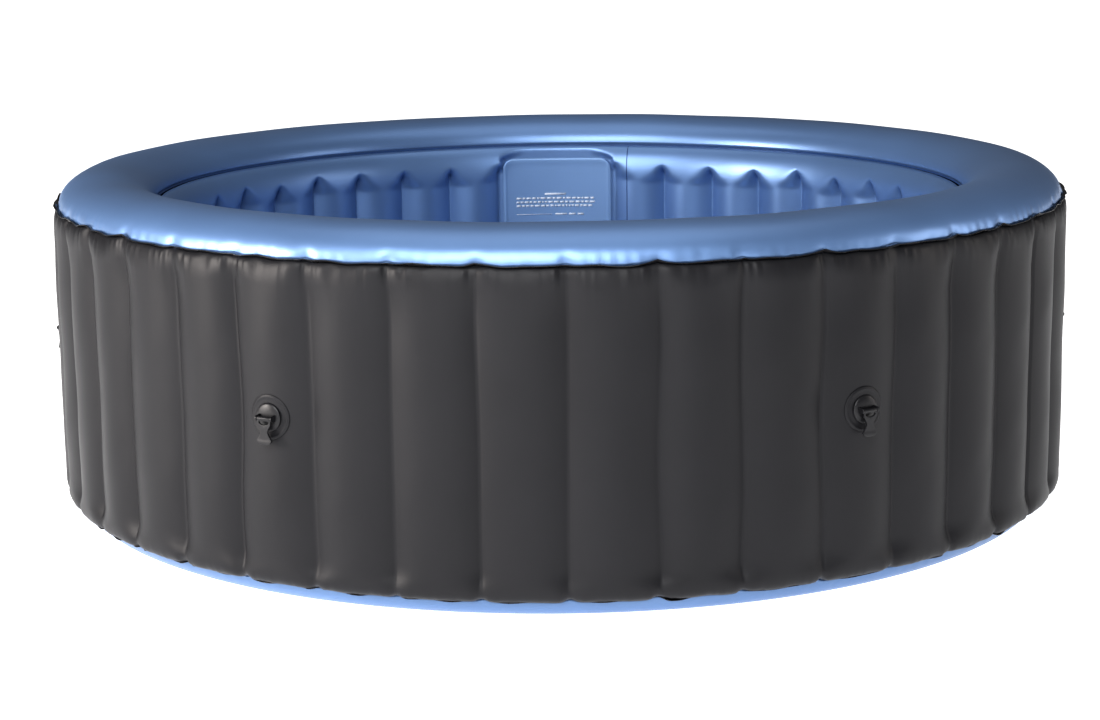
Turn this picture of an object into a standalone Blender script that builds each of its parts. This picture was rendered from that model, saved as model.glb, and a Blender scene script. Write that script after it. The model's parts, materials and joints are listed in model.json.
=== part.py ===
"""Round inflatable hot tub, six-person size: an air ring of welded PVC sheets with its fittings.

The frame is in metres with +Z up. The origin is the centre of the tub on the ground. The rear of
the tub, where the hoses join, is at +Y, and the front is at -Y. An angle is measured about +Z from
+Y towards +X.
"""

import math

import bmesh
import bpy
import numpy as np
from mathutils import Matrix, Vector

# Air ring: outer wall
CHAMBERS = 42
CHAMBER_ANGLE = 2 * math.pi / CHAMBERS
WALL_RADIUS = 1.018
WALL_GROOVE = 0.013
WALL_TOP = 0.609
WALL_FOOT = 0.033
TOP_SEAM_RADIUS = 1.004
BOTTOM_SEAM_RADIUS = 0.987
WALL_SHOULDER = 0.007
WALL_FACETS = 3  # columns in a chamber: one in the groove and two at the ends of its flat

# Air ring: rim, inner wall and floor
RIM_HEIGHT = 0.668
CREASE_RADIUS = 0.819
CREASE_HEIGHT = 0.606
RIM_BANDS = 4
INNER_GROOVE_RADIUS = 0.802
RIB_DEPTH = 0.016
RIBS = 40
PANEL_HALF_ANGLE = 0.1725
RIB_ANGLE = (2 * math.pi - 2 * PANEL_HALF_ANGLE) / RIBS
RIB_TOP = 0.545
PANEL_JOINT = 0.00025  # half of the angle left between the ribbed and the flat sheet
INNER_ROWS = (  # radius, height and share of the ribs' full depth
    (0.7950, 0.006, 0.0),
    (INNER_GROOVE_RADIUS, 0.045, 1.0),
    (INNER_GROOVE_RADIUS, RIB_TOP, 1.0),
    (0.8050, 0.578, 0.3),
    (CREASE_RADIUS + 0.0004, CREASE_HEIGHT - 0.002, 0.0),
)
BASE_RADIUS = 0.947
FLOOR_RADIUS = 0.7985
BASE_ROWS = (  # radius and height, from the bottom seam to the floor sheet
    (BOTTOM_SEAM_RADIUS - 0.002, WALL_FOOT - 0.0020),
    (BOTTOM_SEAM_RADIUS - 0.013, 0.007),
    (BASE_RADIUS, 0.0),
    (FLOOR_RADIUS + 0.0015, 0.0),
)
RING_COLUMNS = 63
FLANGE_COLUMNS = 2 * CHAMBERS
SHEET = 0.0015
GAP = 0.0004

# Ribbons where the sheets are welded
RIBBON_SHEET = 0.0012
FLANGE_WIDTH = 0.016
FLANGE_WAVE = 0.004
TOP_FLANGE_ROOT = (1.0078, 0.6116)  # radius and height
TOP_FLANGE_LEAN = (0.60, 0.80)  # out and up
BOTTOM_FLANGE_ROOT = (0.9895, 0.0305)
BOTTOM_FLANGE_LEAN = (0.94, -0.34)
TAPE_SHEET = 0.0008
TAPE_ROWS = ((0.8115, CREASE_HEIGHT - 0.009), (0.8155, CREASE_HEIGHT + 0.004))

# Sheets inside the air ring
WEB_TOP = 0.556
WEB_FOOT = 0.055
WEB_INNER = 0.8065
WEB_OUTER = 0.9990
CARRIER = (0.870, 0.930)
RIM_WEB_VENTS = 6
VENT_RADIUS = 0.018

# Bubble channel round the foot of the inner wall
CHANNEL_COLUMNS = 48
CHANNEL_PROFILE = ((0.735, 0.0045), (0.739, 0.036), (0.756, 0.074), (0.7825, 0.092))
CHANNEL_MIDDLE = 0.750

# Flat panel on the inner wall
PANEL_RADIUS = 0.7990
PANEL_WIDTH_ANGLE = 0.160
PANEL_TOP = 0.577
PANEL_FOOT = 0.110
PANEL_CORNER = 0.012

# Anchors for the cover's straps
ANCHORS = 6
ANCHOR_HEIGHT = 0.335
PATCH_RADIUS = 0.039
PATCH_SHEET = 0.0012
BOSS_RADIUS = 0.025
BOSS_HEIGHT = 0.007
PIVOT_STAND = 0.015
EAR_SHEET = 0.0035
EAR_RADIUS = 0.0045
EAR_FOOT = 0.0055
EAR_INNER = 0.0137
PIN_RADIUS = 0.0016
PIN_HOLE = 0.0020
BAR_RADIUS = 0.0038
BAR_HALF = 0.0133
TAB_SHEET = 0.0034
TAB_LENGTH = 0.046
TAB_EYE_HALF = 0.0140
TAB_WAIST_HALF = 0.0072
TAB_END_HALF = 0.0150
EYE_HALF = 0.0105
EYE_TOP = 0.0042
EYE_FOOT = 0.0115

# Hose ports, air port, drain and inflation valve
PORT_ANGLE = 0.5 * CHAMBER_ANGLE
PORT_HEIGHT = 0.200
PORT_RADIUS = 0.019
PORT_BORE = 0.016
PORT_END = 1.063
PORT_INNER_END = 0.7880
PORT_FLANGE = (0.034, 0.003)  # radius and thickness
NUT_RADIUS = 0.030
NUT_HEIGHT = 0.008
SCREEN_SHEET = 0.003
SLOT_HALF = 0.0011
SLOT_PITCH = 0.005
AIR_ANGLE = 0.235
AIR_TUBE = (0.007, 0.010)  # bore and outer radius
AIR_STAND = 0.0012  # its seat stands off, because it sits to one side of a chamber
AIR_FLANGE = (0.024, 0.0025)
AIR_ENDS = (1.055, 0.7975)  # how far out its outer and its inner end stand
DRAIN_ANGLE = -0.374
DRAIN_TUBE = (0.010, 0.013)
DRAIN_FLANGE = (0.026, 0.0025)
DRAIN_ENDS = (1.046, 0.7300)
DRAIN_CAP = (0.0134, 0.0185, 0.006, 0.0285, 0.0320)  # bore, radius, mouth, ceiling and top
LOW_HEIGHT = 0.075
VALVE_ANGLE = -1.5 * CHAMBER_ANGLE
VALVE_HEIGHT = 0.420
VALVE_CAP = (0.0165, 0.0200, 0.0035, 0.0185, 0.0220)
VALVE_BODY = (  # radius and height from the seat, round the section of its wall
    (0.0030, -0.030),
    (0.0150, -0.030),
    (0.0150, 0.0),
    (0.0300, 0.0),
    (0.0300, 0.0020),
    (0.0160, 0.0020),
    (0.0160, 0.0160),
    (0.0120, 0.0160),
    (0.0120, -0.027),
    (0.0030, -0.027),
)
VALVE_STEM = (
    (0, -0.0335),
    (0.0125, -0.0335),
    (0.0125, -0.0304),
    (0.0022, -0.0304),
    (0.0022, 0.0060),
    (0.0065, 0.0060),
    (0.0065, 0.0090),
    (0, 0.0090),
)
AIR_HOLES = 4
AIR_HOLE_RADIUS = 0.0022
AIR_HOLE_CIRCLE = 0.0078
SPRING_TURNS = 4
SPRING_RADIUS = 0.0048
SPRING_WIRE = 0.0006
SPRING_ENDS = (-0.0262, 0.0052)
HOLE_GAP = 0.0008  # between a hole and the tube that goes through it
SEGMENTS = 16
CAP_SEGMENTS = 20

# The flat of a chamber stands this far out at its middle; a fitting's flange lies just off it.
FLAT_RADIUS = WALL_RADIUS * math.cos(CHAMBER_ANGLE / 6)
SEAT_RADIUS = FLAT_RADIUS + GAP

BLACK = (0.035, 0.036, 0.042)
BLUE = (0.160, 0.300, 0.560)


def clear_scene():
    for item in list(bpy.data.objects):
        bpy.data.objects.remove(item)


def material(name, colour, roughness, metallic=0.0):
    made = bpy.data.materials.new(name)
    made.use_nodes = True
    shader = made.node_tree.nodes["Principled BSDF"]
    shader.inputs["Base Color"].default_value = (*colour, 1.0)
    shader.inputs["Roughness"].default_value = roughness
    shader.inputs["Metallic"].default_value = metallic
    return made


def add_mesh(name, points, faces, finish):
    mesh = bpy.data.meshes.new(name)
    mesh.from_pydata([tuple(p) for p in points], [], faces)
    mesh.materials.append(finish)
    thing = bpy.data.objects.new(name, mesh)
    bpy.context.collection.objects.link(thing)
    return thing


def face_outwards(thing):
    work = bmesh.new()
    work.from_mesh(thing.data)
    bmesh.ops.recalc_face_normals(work, faces=work.faces)
    work.to_mesh(thing.data)
    work.free()


def add_boolean(thing, cutter, operation):
    cut = thing.modifiers.new(cutter.name, "BOOLEAN")
    cut.object = cutter
    cut.operation = operation
    cutter.hide_render = True
    cutter.display_type = "WIRE"


def baked_mesh(thing):
    """The mesh of an object with its modifiers applied, for copies that share it."""
    graph = bpy.context.evaluated_depsgraph_get()
    return bpy.data.meshes.new_from_object(thing.evaluated_get(graph))


def thicken(thing, sheet):
    """Gives a sheet its thickness on the side away from its normals."""
    solid = thing.modifiers.new("Sheet", "SOLIDIFY")
    solid.thickness = sheet
    solid.offset = -1.0


def ring_points(angles, radius, height):
    """One row of points round the tub; radius and height may vary with the angle."""
    radius = np.broadcast_to(radius, angles.shape)
    height = np.broadcast_to(height, angles.shape)
    return np.stack([radius * np.sin(angles), radius * np.cos(angles), height], axis=1)


def ring_sheet(name, rows, sheet, finish):
    """A closed ring of sheet through rows of points.

    The visible side faces outwards where the rows run down, inwards where they run up and upwards
    where they run from the middle of the tub to its outside.
    """
    count = len(rows[0])
    faces = []
    for row in range(len(rows) - 1):
        for column in range(count):
            after = (column + 1) % count
            here, below = row * count, (row + 1) * count
            faces.append((here + column, here + after, below + after, below + column))
    thing = add_mesh(name, np.concatenate(rows), faces, finish)
    thicken(thing, sheet)
    return thing


def even_angles(count):
    return np.arange(count) * 2 * math.pi / count


def turned(name, profile, segments, finish):
    """A closed profile of (radius, height) turned about local Z; a radius of 0 lies on the axis."""
    points, rings = [], []
    for radius, height in profile:
        if radius == 0:
            rings.append([len(points)] * segments)
            points.append((0, 0, height))
            continue
        rings.append(list(range(len(points), len(points) + segments)))
        for angle in even_angles(segments):
            points.append((radius * math.cos(angle), radius * math.sin(angle), height))
    faces = []
    for first, second in zip(rings, rings[1:] + rings[:1]):
        for i in range(segments):
            j = (i + 1) % segments
            corners = list(dict.fromkeys((first[i], first[j], second[j], second[i])))
            if len(corners) > 2:
                faces.append(corners)
    thing = add_mesh(name, points, faces, finish)
    face_outwards(thing)
    return thing


def tube_profile(inner, outer, low, high):
    return [(inner, low), (outer, low), (outer, high), (inner, high)]


def rod_profile(radius, low, high):
    return [(0, low), (radius, low), (radius, high), (0, high)]


def extruded(name, outline, depth, finish):
    """An outline in local XY, extruded half of the depth to each side of it."""
    count = len(outline)
    points = [(x, y, -depth / 2) for x, y in outline] + [(x, y, depth / 2) for x, y in outline]
    faces = [list(range(count)), list(range(count, 2 * count))]
    for i in range(count):
        j = (i + 1) % count
        faces.append((i, j, j + count, i + count))
    thing = add_mesh(name, points, faces, finish)
    face_outwards(thing)
    return thing


def joined(name, things, finish):
    """Separate bodies in one mesh, to use as one Boolean operand."""
    points, faces = [], []
    for thing in things:
        start = len(points)
        points += [tuple(thing.matrix_world @ v.co) for v in thing.data.vertices]
        faces += [[start + v for v in face.vertices] for face in thing.data.polygons]
        bpy.data.objects.remove(thing)
    return add_mesh(name, points, faces, finish)


def seat_matrix(angle, radius, height):
    """A frame on the tub: local Z points out from its middle, local Y up and local X along it."""
    out = Vector((math.sin(angle), math.cos(angle), 0))
    along = Vector((-math.cos(angle), math.sin(angle), 0))
    turn = Matrix((along, Vector((0, 0, 1)), out)).transposed().to_4x4()
    return Matrix.Translation(out * radius + Vector((0, 0, height))) @ turn


def seated(thing, angle, radius, height):
    thing.matrix_world = seat_matrix(angle, radius, height)
    return thing


def wall_row(radius, height, fullness):
    """Across a chamber the sheet bellies out between two grooves; fullness is 0 at a seam."""
    angles = even_angles(CHAMBERS * WALL_FACETS)
    in_groove = np.arange(len(angles)) % WALL_FACETS == 0
    return ring_points(angles, radius - WALL_GROOVE * fullness * in_groove, height)


def make_outer_wall(finish):
    shoulder = WALL_RADIUS - WALL_SHOULDER
    rows = [
        wall_row(TOP_SEAM_RADIUS, WALL_TOP, 0.0),
        wall_row(shoulder, WALL_TOP - 0.020, 0.8),
        wall_row(WALL_RADIUS, WALL_TOP - 0.055, 1.0),
        wall_row(WALL_RADIUS, WALL_FOOT + 0.042, 1.0),
        wall_row(shoulder, WALL_FOOT + 0.019, 0.8),
        wall_row(BOTTOM_SEAM_RADIUS, WALL_FOOT, 0.0),
    ]
    return ring_sheet("outer_wall", rows, SHEET, finish)


def make_rim(finish):
    """Half an ellipse from the crease at the top of the inner wall, over to the top seam."""
    middle = (CREASE_RADIUS + TOP_SEAM_RADIUS) / 2
    half = (TOP_SEAM_RADIUS - CREASE_RADIUS) / 2
    angles = even_angles(RING_COLUMNS)
    foot_in, foot_out = CREASE_HEIGHT, WALL_TOP + 0.0015
    rows = []
    for step in range(RIM_BANDS + 1):
        turn = math.pi * step / RIM_BANDS
        foot = foot_in + (foot_out - foot_in) * step / RIM_BANDS
        height = foot + (RIM_HEIGHT - foot) * math.sin(turn)
        rows.append(ring_points(angles, middle - half * math.cos(turn), height))
    return ring_sheet("rim", rows, SHEET, finish)


def strip_sheet(name, rows, sheet, finish):
    """A sheet through rows of points that doesn't close into a ring."""
    count = len(rows[0])
    faces = []
    for row in range(len(rows) - 1):
        for column in range(count - 1):
            here = row * count + column
            faces.append((here, here + 1, here + 1 + count, here + count))
    thing = add_mesh(name, np.concatenate(rows), faces, finish)
    thicken(thing, sheet)
    return thing


def inner_rows(angles, bulge):
    """Rows up the inner wall; bulge says how far each column stands out of the grooves."""
    rows = []
    for radius, height, fullness in INNER_ROWS:
        rows.append(ring_points(angles, radius - RIB_DEPTH * fullness * bulge, height))
    return rows


def make_inner_wall(finish):
    """The ribbed sheet: one groove and one crest for each rib."""
    steps = np.arange(2 * RIBS + 1)
    angles = PANEL_HALF_ANGLE + RIB_ANGLE * steps / 2
    angles[0] += PANEL_JOINT
    angles[-1] -= PANEL_JOINT
    return strip_sheet("inner_wall", inner_rows(angles, (steps % 2).astype(float)), SHEET, finish)


def make_rear_sheet(finish):
    """The flat sheet behind the panel, welded to the ribbed sheet at both sides."""
    reach = PANEL_HALF_ANGLE - PANEL_JOINT
    angles = reach * np.array([-1.0, -0.5, 0.0, 0.5, 1.0])
    return strip_sheet("rear_sheet", inner_rows(angles, np.zeros(len(angles))), SHEET, finish)


def make_base_ring(finish):
    angles = even_angles(RING_COLUMNS)
    rows = []
    for radius, height in BASE_ROWS:
        rows.append(ring_points(angles, radius, height))
    return ring_sheet("base_ring", rows, SHEET, finish)


def make_floor(finish):
    return turned("floor_sheet", rod_profile(FLOOR_RADIUS, 0.0, SHEET), RING_COLUMNS, finish)


def make_flange(name, root_place, lean, finish):
    """A wavy ribbon that stands off a seam, leaning out and up, with one wave for each chamber."""
    (radius, height), (out, up) = root_place, lean
    angles = even_angles(FLANGE_COLUMNS)
    wave = FLANGE_WAVE * np.cos(CHAMBERS * angles)
    root = ring_points(angles, radius, height)
    edge = ring_points(angles, radius + out * FLANGE_WIDTH, height + up * FLANGE_WIDTH + up * wave)
    rows = [edge, root]
    return ring_sheet(name, rows, RIBBON_SHEET, finish)


def make_crease_tape(finish):
    angles = even_angles(RING_COLUMNS)
    rows = [ring_points(angles, radius, height) for radius, height in TAPE_ROWS]
    return ring_sheet("crease_tape", rows, TAPE_SHEET, finish)


def make_rim_web(finish):
    """The level sheet that ties the crease to the top seam, with vents for the air."""
    profile = tube_profile(CREASE_RADIUS + 0.0045, TOP_SEAM_RADIUS - 0.0045, 0, SHEET)
    web = turned("rim_web", profile, RING_COLUMNS, finish)
    web.location.z = CREASE_HEIGHT - 0.004
    bpy.context.view_layer.update()
    middle = (CREASE_RADIUS + TOP_SEAM_RADIUS) / 2
    vents = []
    for step in range(RIM_WEB_VENTS):
        angle = 2 * math.pi * (step + 0.25) / RIM_WEB_VENTS
        vent = turned("vent", rod_profile(VENT_RADIUS, -0.01, 0.01), 12, finish)
        place = (middle * math.sin(angle), middle * math.cos(angle), web.location.z)
        vent.matrix_world = Matrix.Translation(place)
        vents.append(vent)
    add_boolean(web, joined("rim_web_cutter", vents, finish), "DIFFERENCE")
    return web


def web_blade(outer_angle, inner_angle, finish):
    """One upright strip from an inner groove to the outer groove that it pulls."""
    inner = Vector((math.sin(inner_angle), math.cos(inner_angle), 0)) * WEB_INNER
    outer = Vector((math.sin(outer_angle), math.cos(outer_angle), 0)) * WEB_OUTER
    aside = (outer - inner).normalized().cross(Vector((0, 0, 1))) * SHEET / 2
    foot = [inner - aside, outer - aside, outer + aside, inner + aside]
    points = [p + Vector((0, 0, height)) for height in (WEB_FOOT, WEB_TOP) for p in foot]
    faces = [(0, 1, 2, 3), (4, 5, 6, 7), (0, 1, 5, 4), (1, 2, 6, 5), (2, 3, 7, 6), (3, 0, 4, 7)]
    blade = add_mesh("blade", points, faces, finish)
    face_outwards(blade)
    return blade


def make_tension_webs(finish):
    """All the upright strips, hung from one level carrier strip, so that they come out together."""
    carrier = turned("tension_webs", tube_profile(*CARRIER, 0, SHEET), RING_COLUMNS, finish)
    carrier.location.z = WEB_TOP - 0.010
    blades = []
    for step in range(CHAMBERS):
        side = 1 if step <= CHAMBERS // 2 else -1
        count = step if side == 1 else CHAMBERS - step
        inner = PANEL_HALF_ANGLE + (count - 1) * RIB_ANGLE if count else 0.0
        blades.append(web_blade(side * count * CHAMBER_ANGLE, side * inner, finish))
    add_boolean(carrier, joined("web_blades", blades, finish), "UNION")
    return carrier


def make_bubble_channel(finish):
    """The arched strip welded over the corner of floor and wall, which leads air to its holes."""
    angles = even_angles(CHANNEL_COLUMNS)
    rows = [ring_points(angles, radius, height) for radius, height in CHANNEL_PROFILE]
    return ring_sheet("bubble_channel", rows, SHEET, finish)


def make_panel(finish):
    """A patch with round upper corners on the flat of the inner wall."""
    reach = PANEL_WIDTH_ANGLE * PANEL_RADIUS
    half = [0, reach / 2, reach - PANEL_CORNER, reach - 0.35 * PANEL_CORNER, reach]
    across = np.array([-x for x in half[:0:-1]] + half)
    past = np.maximum(np.abs(across) - (reach - PANEL_CORNER), 0)
    top = PANEL_TOP - PANEL_CORNER + np.sqrt(PANEL_CORNER**2 - past**2)
    angles = across / PANEL_RADIUS
    foot = ring_points(angles, PANEL_RADIUS, PANEL_FOOT)
    rows = np.concatenate([foot, ring_points(angles, PANEL_RADIUS, top)])
    count = len(across)
    faces = [(i, i + 1, i + 1 + count, i + count) for i in range(count - 1)]
    panel = add_mesh("equipment_panel", rows, faces, finish)
    thicken(panel, SHEET)
    return panel


def make_wall_fitting(name, profile, place, finish, segments=SEGMENTS):
    return seated(turned(name, profile, segments, finish), *place)


def sleeve_profile(tube, flange_place, ends):
    """A tube through the air ring with a welded flange at the outer wall, as heights from the seat."""
    (bore, radius), (flange, flange_sheet), (outer_end, inner_end) = tube, flange_place, ends
    return [
        (bore, inner_end - SEAT_RADIUS),
        (radius, inner_end - SEAT_RADIUS),
        (radius, 0.0),
        (flange, 0.0),
        (flange, flange_sheet),
        (radius, flange_sheet),
        (radius, outer_end - SEAT_RADIUS),
        (bore, outer_end - SEAT_RADIUS),
    ]


def make_screen(name, place, finish):
    """A round screen with five slots, which stops debris in the end of a sleeve."""
    screen = turned(name, rod_profile(PORT_BORE - GAP, 0, SCREEN_SHEET), SEGMENTS, finish)
    slots = []
    for step in range(-2, 3):
        half = math.sqrt((PORT_BORE - 0.004) ** 2 - (step * SLOT_PITCH) ** 2)
        outline = ((-half, -SLOT_HALF), (half, -SLOT_HALF), (half, SLOT_HALF), (-half, SLOT_HALF))
        slot = extruded("slot", outline, 0.02, finish)
        slot.matrix_world = seat_matrix(*place) @ Matrix.Translation((0, step * SLOT_PITCH, 0))
        slots.append(slot)
    seated(screen, *place)
    add_boolean(screen, joined(name + "_cutter", slots, finish), "DIFFERENCE")
    return screen


def make_hose_port(side, angle, finish, screen_finish):
    sleeve = sleeve_profile((PORT_BORE, PORT_RADIUS), PORT_FLANGE, (PORT_END, PORT_INNER_END))
    make_wall_fitting(side + "_port_sleeve", sleeve, (angle, SEAT_RADIUS, PORT_HEIGHT), finish)
    nut = tube_profile(PORT_RADIUS + GAP, NUT_RADIUS, 0, NUT_HEIGHT)
    make_wall_fitting(side + "_port_nut", nut, (angle, PORT_INNER_END + 0.0005, PORT_HEIGHT), finish)
    make_screen(side + "_port_screen", (angle, PORT_INNER_END + 0.001, PORT_HEIGHT), screen_finish)


def make_air_port(finish):
    place = (AIR_ANGLE, SEAT_RADIUS + AIR_STAND, LOW_HEIGHT)
    make_wall_fitting("air_port_sleeve", sleeve_profile(AIR_TUBE, AIR_FLANGE, AIR_ENDS), place, finish)


def cup_profile(bore, radius, mouth, ceiling, top):
    """A screw cap: a skirt from the mouth up to a closed top."""
    return [
        (bore, mouth),
        (radius, mouth),
        (radius, top - 0.0015),
        (radius - 0.0015, top),
        (0, top),
        (0, ceiling),
        (bore, ceiling),
    ]


def make_drain(finish):
    place = (DRAIN_ANGLE, SEAT_RADIUS, LOW_HEIGHT)
    profile = sleeve_profile(DRAIN_TUBE, DRAIN_FLANGE, DRAIN_ENDS)
    make_wall_fitting("drain_sleeve", profile, place, finish)
    make_wall_fitting("drain_cap", cup_profile(*DRAIN_CAP), place, finish, CAP_SEGMENTS)


def make_inflation_valve(finish, cap_finish, steel):
    place = (VALVE_ANGLE, SEAT_RADIUS, VALVE_HEIGHT)
    body = make_wall_fitting("valve_body", VALVE_BODY, place, finish, CAP_SEGMENTS)
    holes = []
    for angle in even_angles(AIR_HOLES):
        hole = turned("hole", rod_profile(AIR_HOLE_RADIUS, -0.035, -0.020), 8, finish)
        shift = (AIR_HOLE_CIRCLE * math.cos(angle), AIR_HOLE_CIRCLE * math.sin(angle), 0)
        hole.matrix_world = seat_matrix(*place) @ Matrix.Translation(shift)
        holes.append(hole)
    add_boolean(body, joined("valve_air_holes", holes, finish), "DIFFERENCE")
    make_wall_fitting("valve_stem", VALVE_STEM, place, cap_finish)
    make_valve_spring(place, steel)
    make_wall_fitting("valve_cap", cup_profile(*VALVE_CAP), place, cap_finish, CAP_SEGMENTS)


def make_valve_spring(place, steel):
    """A coil round the stem, between the guide plate and the button."""
    per_turn = 10
    low, high = SPRING_ENDS
    count = SPRING_TURNS * per_turn + 1
    curve = bpy.data.curves.new("valve_spring", "CURVE")
    curve.dimensions = "3D"
    curve.bevel_depth = SPRING_WIRE
    curve.bevel_resolution = 0
    curve.use_fill_caps = True
    line = curve.splines.new("POLY")
    line.points.add(count - 1)
    for i, point in enumerate(line.points):
        angle = 2 * math.pi * i / per_turn
        height = low + (high - low) * i / (count - 1)
        point.co = (SPRING_RADIUS * math.cos(angle), SPRING_RADIUS * math.sin(angle), height, 1)
    curve.materials.append(steel)
    spring = bpy.data.objects.new("valve_spring", curve)
    bpy.context.collection.objects.link(spring)
    return seated(spring, *place)


def cut_fitting_holes(sheet, radius, clearances, finish):
    """Round holes through a sheet at a radius; clearances holds (angle, height, hole radius)."""
    holes = []
    for angle, height, hole_radius in clearances:
        hole = turned("hole", rod_profile(hole_radius, -0.045, 0.045), 16, finish)
        holes.append(seated(hole, angle, radius, height))
    add_boolean(sheet, joined(sheet.name + "_cutter", holes, finish), "DIFFERENCE")


def ear_outline():
    """A post with a round top about the pin; X is up the wall and Y stands off it."""
    arc = [math.pi * step / 6 for step in range(7)]
    top = [(EAR_RADIUS * math.cos(a), PIVOT_STAND + EAR_RADIUS * math.sin(a)) for a in arc]
    return [(EAR_FOOT, 0.0008)] + top + [(-EAR_FOOT, 0.0008)]


def anchor_base_mesh(finish):
    """A domed boss with two ears that hold the pins of the tab."""
    dome = []
    for step in range(4):
        turn = math.pi / 2 * step / 3
        dome.append((BOSS_RADIUS * math.sin(turn), 0.002 + (BOSS_HEIGHT - 0.002) * math.cos(turn)))
    boss = turned("boss", [(0, 0.0)] + dome + [(BOSS_RADIUS, 0.0)], SEGMENTS, finish)
    upright = Matrix(((0, 0, 1, 0), (1, 0, 0, 0), (0, 1, 0, 0), (0, 0, 0, 1)))
    ears, pins = [], []
    for side in (-1, 1):
        middle = side * (EAR_INNER + EAR_SHEET / 2)
        ear = extruded("ear", ear_outline(), EAR_SHEET, finish)
        ear.matrix_world = Matrix.Translation((middle, 0, 0)) @ upright
        ears.append(ear)
        pin = turned("pin", rod_profile(PIN_HOLE, -0.004, 0.004), 12, finish)
        pin.matrix_world = Matrix.Translation((middle, 0, PIVOT_STAND)) @ Matrix.Rotation(math.pi / 2, 4, "Y")
        pins.append(pin)
    helpers = [joined("ears", ears, finish), joined("pins", pins, finish)]
    add_boolean(boss, helpers[0], "UNION")
    add_boolean(boss, helpers[1], "DIFFERENCE")
    return bake_and_clear(boss, helpers)


def bake_and_clear(thing, helpers):
    mesh = baked_mesh(thing)
    for item in [thing, *helpers]:
        bpy.data.objects.remove(item)
    return mesh


def blend(start, end, share):
    """A smooth change from start to end as share goes from 0 to 1."""
    return start + (end - start) * (1 - math.cos(math.pi * share)) / 2


def tab_outline():
    """Half widths down the tab: its eye, its waist and its round flared end."""
    eye_low, waist, flare = 0.009, 0.023, 0.0375
    side = [(BAR_HALF, 0.0), (BAR_HALF, -0.003), (TAB_EYE_HALF, -0.0065)]
    for share in (0, 0.33, 0.67, 1):
        side.append((blend(TAB_EYE_HALF, TAB_WAIST_HALF, share), -eye_low - (waist - eye_low) * share))
    for share in (0.33, 0.67, 1):
        side.append((blend(TAB_WAIST_HALF, TAB_END_HALF, share), -waist - (flare - waist) * share))
    for step in (1, 2, 3):
        turn = math.pi / 2 * step / 4
        low = flare + (TAB_LENGTH - flare) * math.sin(turn)
        side.append((TAB_END_HALF * math.cos(turn) ** 0.7, -low))
    return side + [(0, -TAB_LENGTH)] + [(-x, y) for x, y in reversed(side)]


def anchor_tab_mesh(finish):
    """A flat tab with an eye, moulded on a round bar whose ends are its pins."""
    tab = extruded("tab", tab_outline(), TAB_SHEET, finish)
    eye = [(-EYE_HALF, -EYE_TOP)]
    for step in range(1, 6):
        turn = math.pi * step / 6
        eye.append((-EYE_HALF * math.cos(turn), -EYE_TOP - (EYE_FOOT - EYE_TOP) * math.sin(turn)))
    eye.append((EYE_HALF, -EYE_TOP))
    lie_along = Matrix.Rotation(math.pi / 2, 4, "Y")
    hole = extruded("eye", eye, 0.02, finish)
    bar_profile = [
        (0, -BAR_HALF - 0.0032),
        (PIN_RADIUS, -BAR_HALF - 0.0032),
        (PIN_RADIUS, -BAR_HALF),
        (BAR_RADIUS, -BAR_HALF),
        (BAR_RADIUS, BAR_HALF),
        (PIN_RADIUS, BAR_HALF),
        (PIN_RADIUS, BAR_HALF + 0.0032),
        (0, BAR_HALF + 0.0032),
    ]
    bar = turned("bar", bar_profile, 12, finish)
    bar.matrix_world = lie_along
    add_boolean(tab, hole, "DIFFERENCE")
    add_boolean(tab, bar, "UNION")
    bpy.context.view_layer.update()
    return bake_and_clear(tab, [hole, bar])


def add_copy(name, mesh, angle, radius, height):
    thing = bpy.data.objects.new(name, mesh)
    bpy.context.collection.objects.link(thing)
    return seated(thing, angle, radius, height)


def make_anchors(patch_finish, moulded):
    patch = turned("patch", rod_profile(PATCH_RADIUS, 0, PATCH_SHEET), SEGMENTS, patch_finish)
    patch_mesh = bake_and_clear(patch, [])
    base_mesh, tab_mesh = anchor_base_mesh(moulded), anchor_tab_mesh(moulded)
    base_seat = SEAT_RADIUS + PATCH_SHEET + GAP
    for step in range(ANCHORS):
        angle = 2 * math.pi * (step + 0.5) / ANCHORS
        number = str(step + 1)
        add_copy("anchor_patch_" + number, patch_mesh, angle, SEAT_RADIUS, ANCHOR_HEIGHT)
        add_copy("anchor_base_" + number, base_mesh, angle, base_seat, ANCHOR_HEIGHT)
        add_copy("anchor_tab_" + number, tab_mesh, angle, base_seat + PIVOT_STAND, ANCHOR_HEIGHT)


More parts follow.
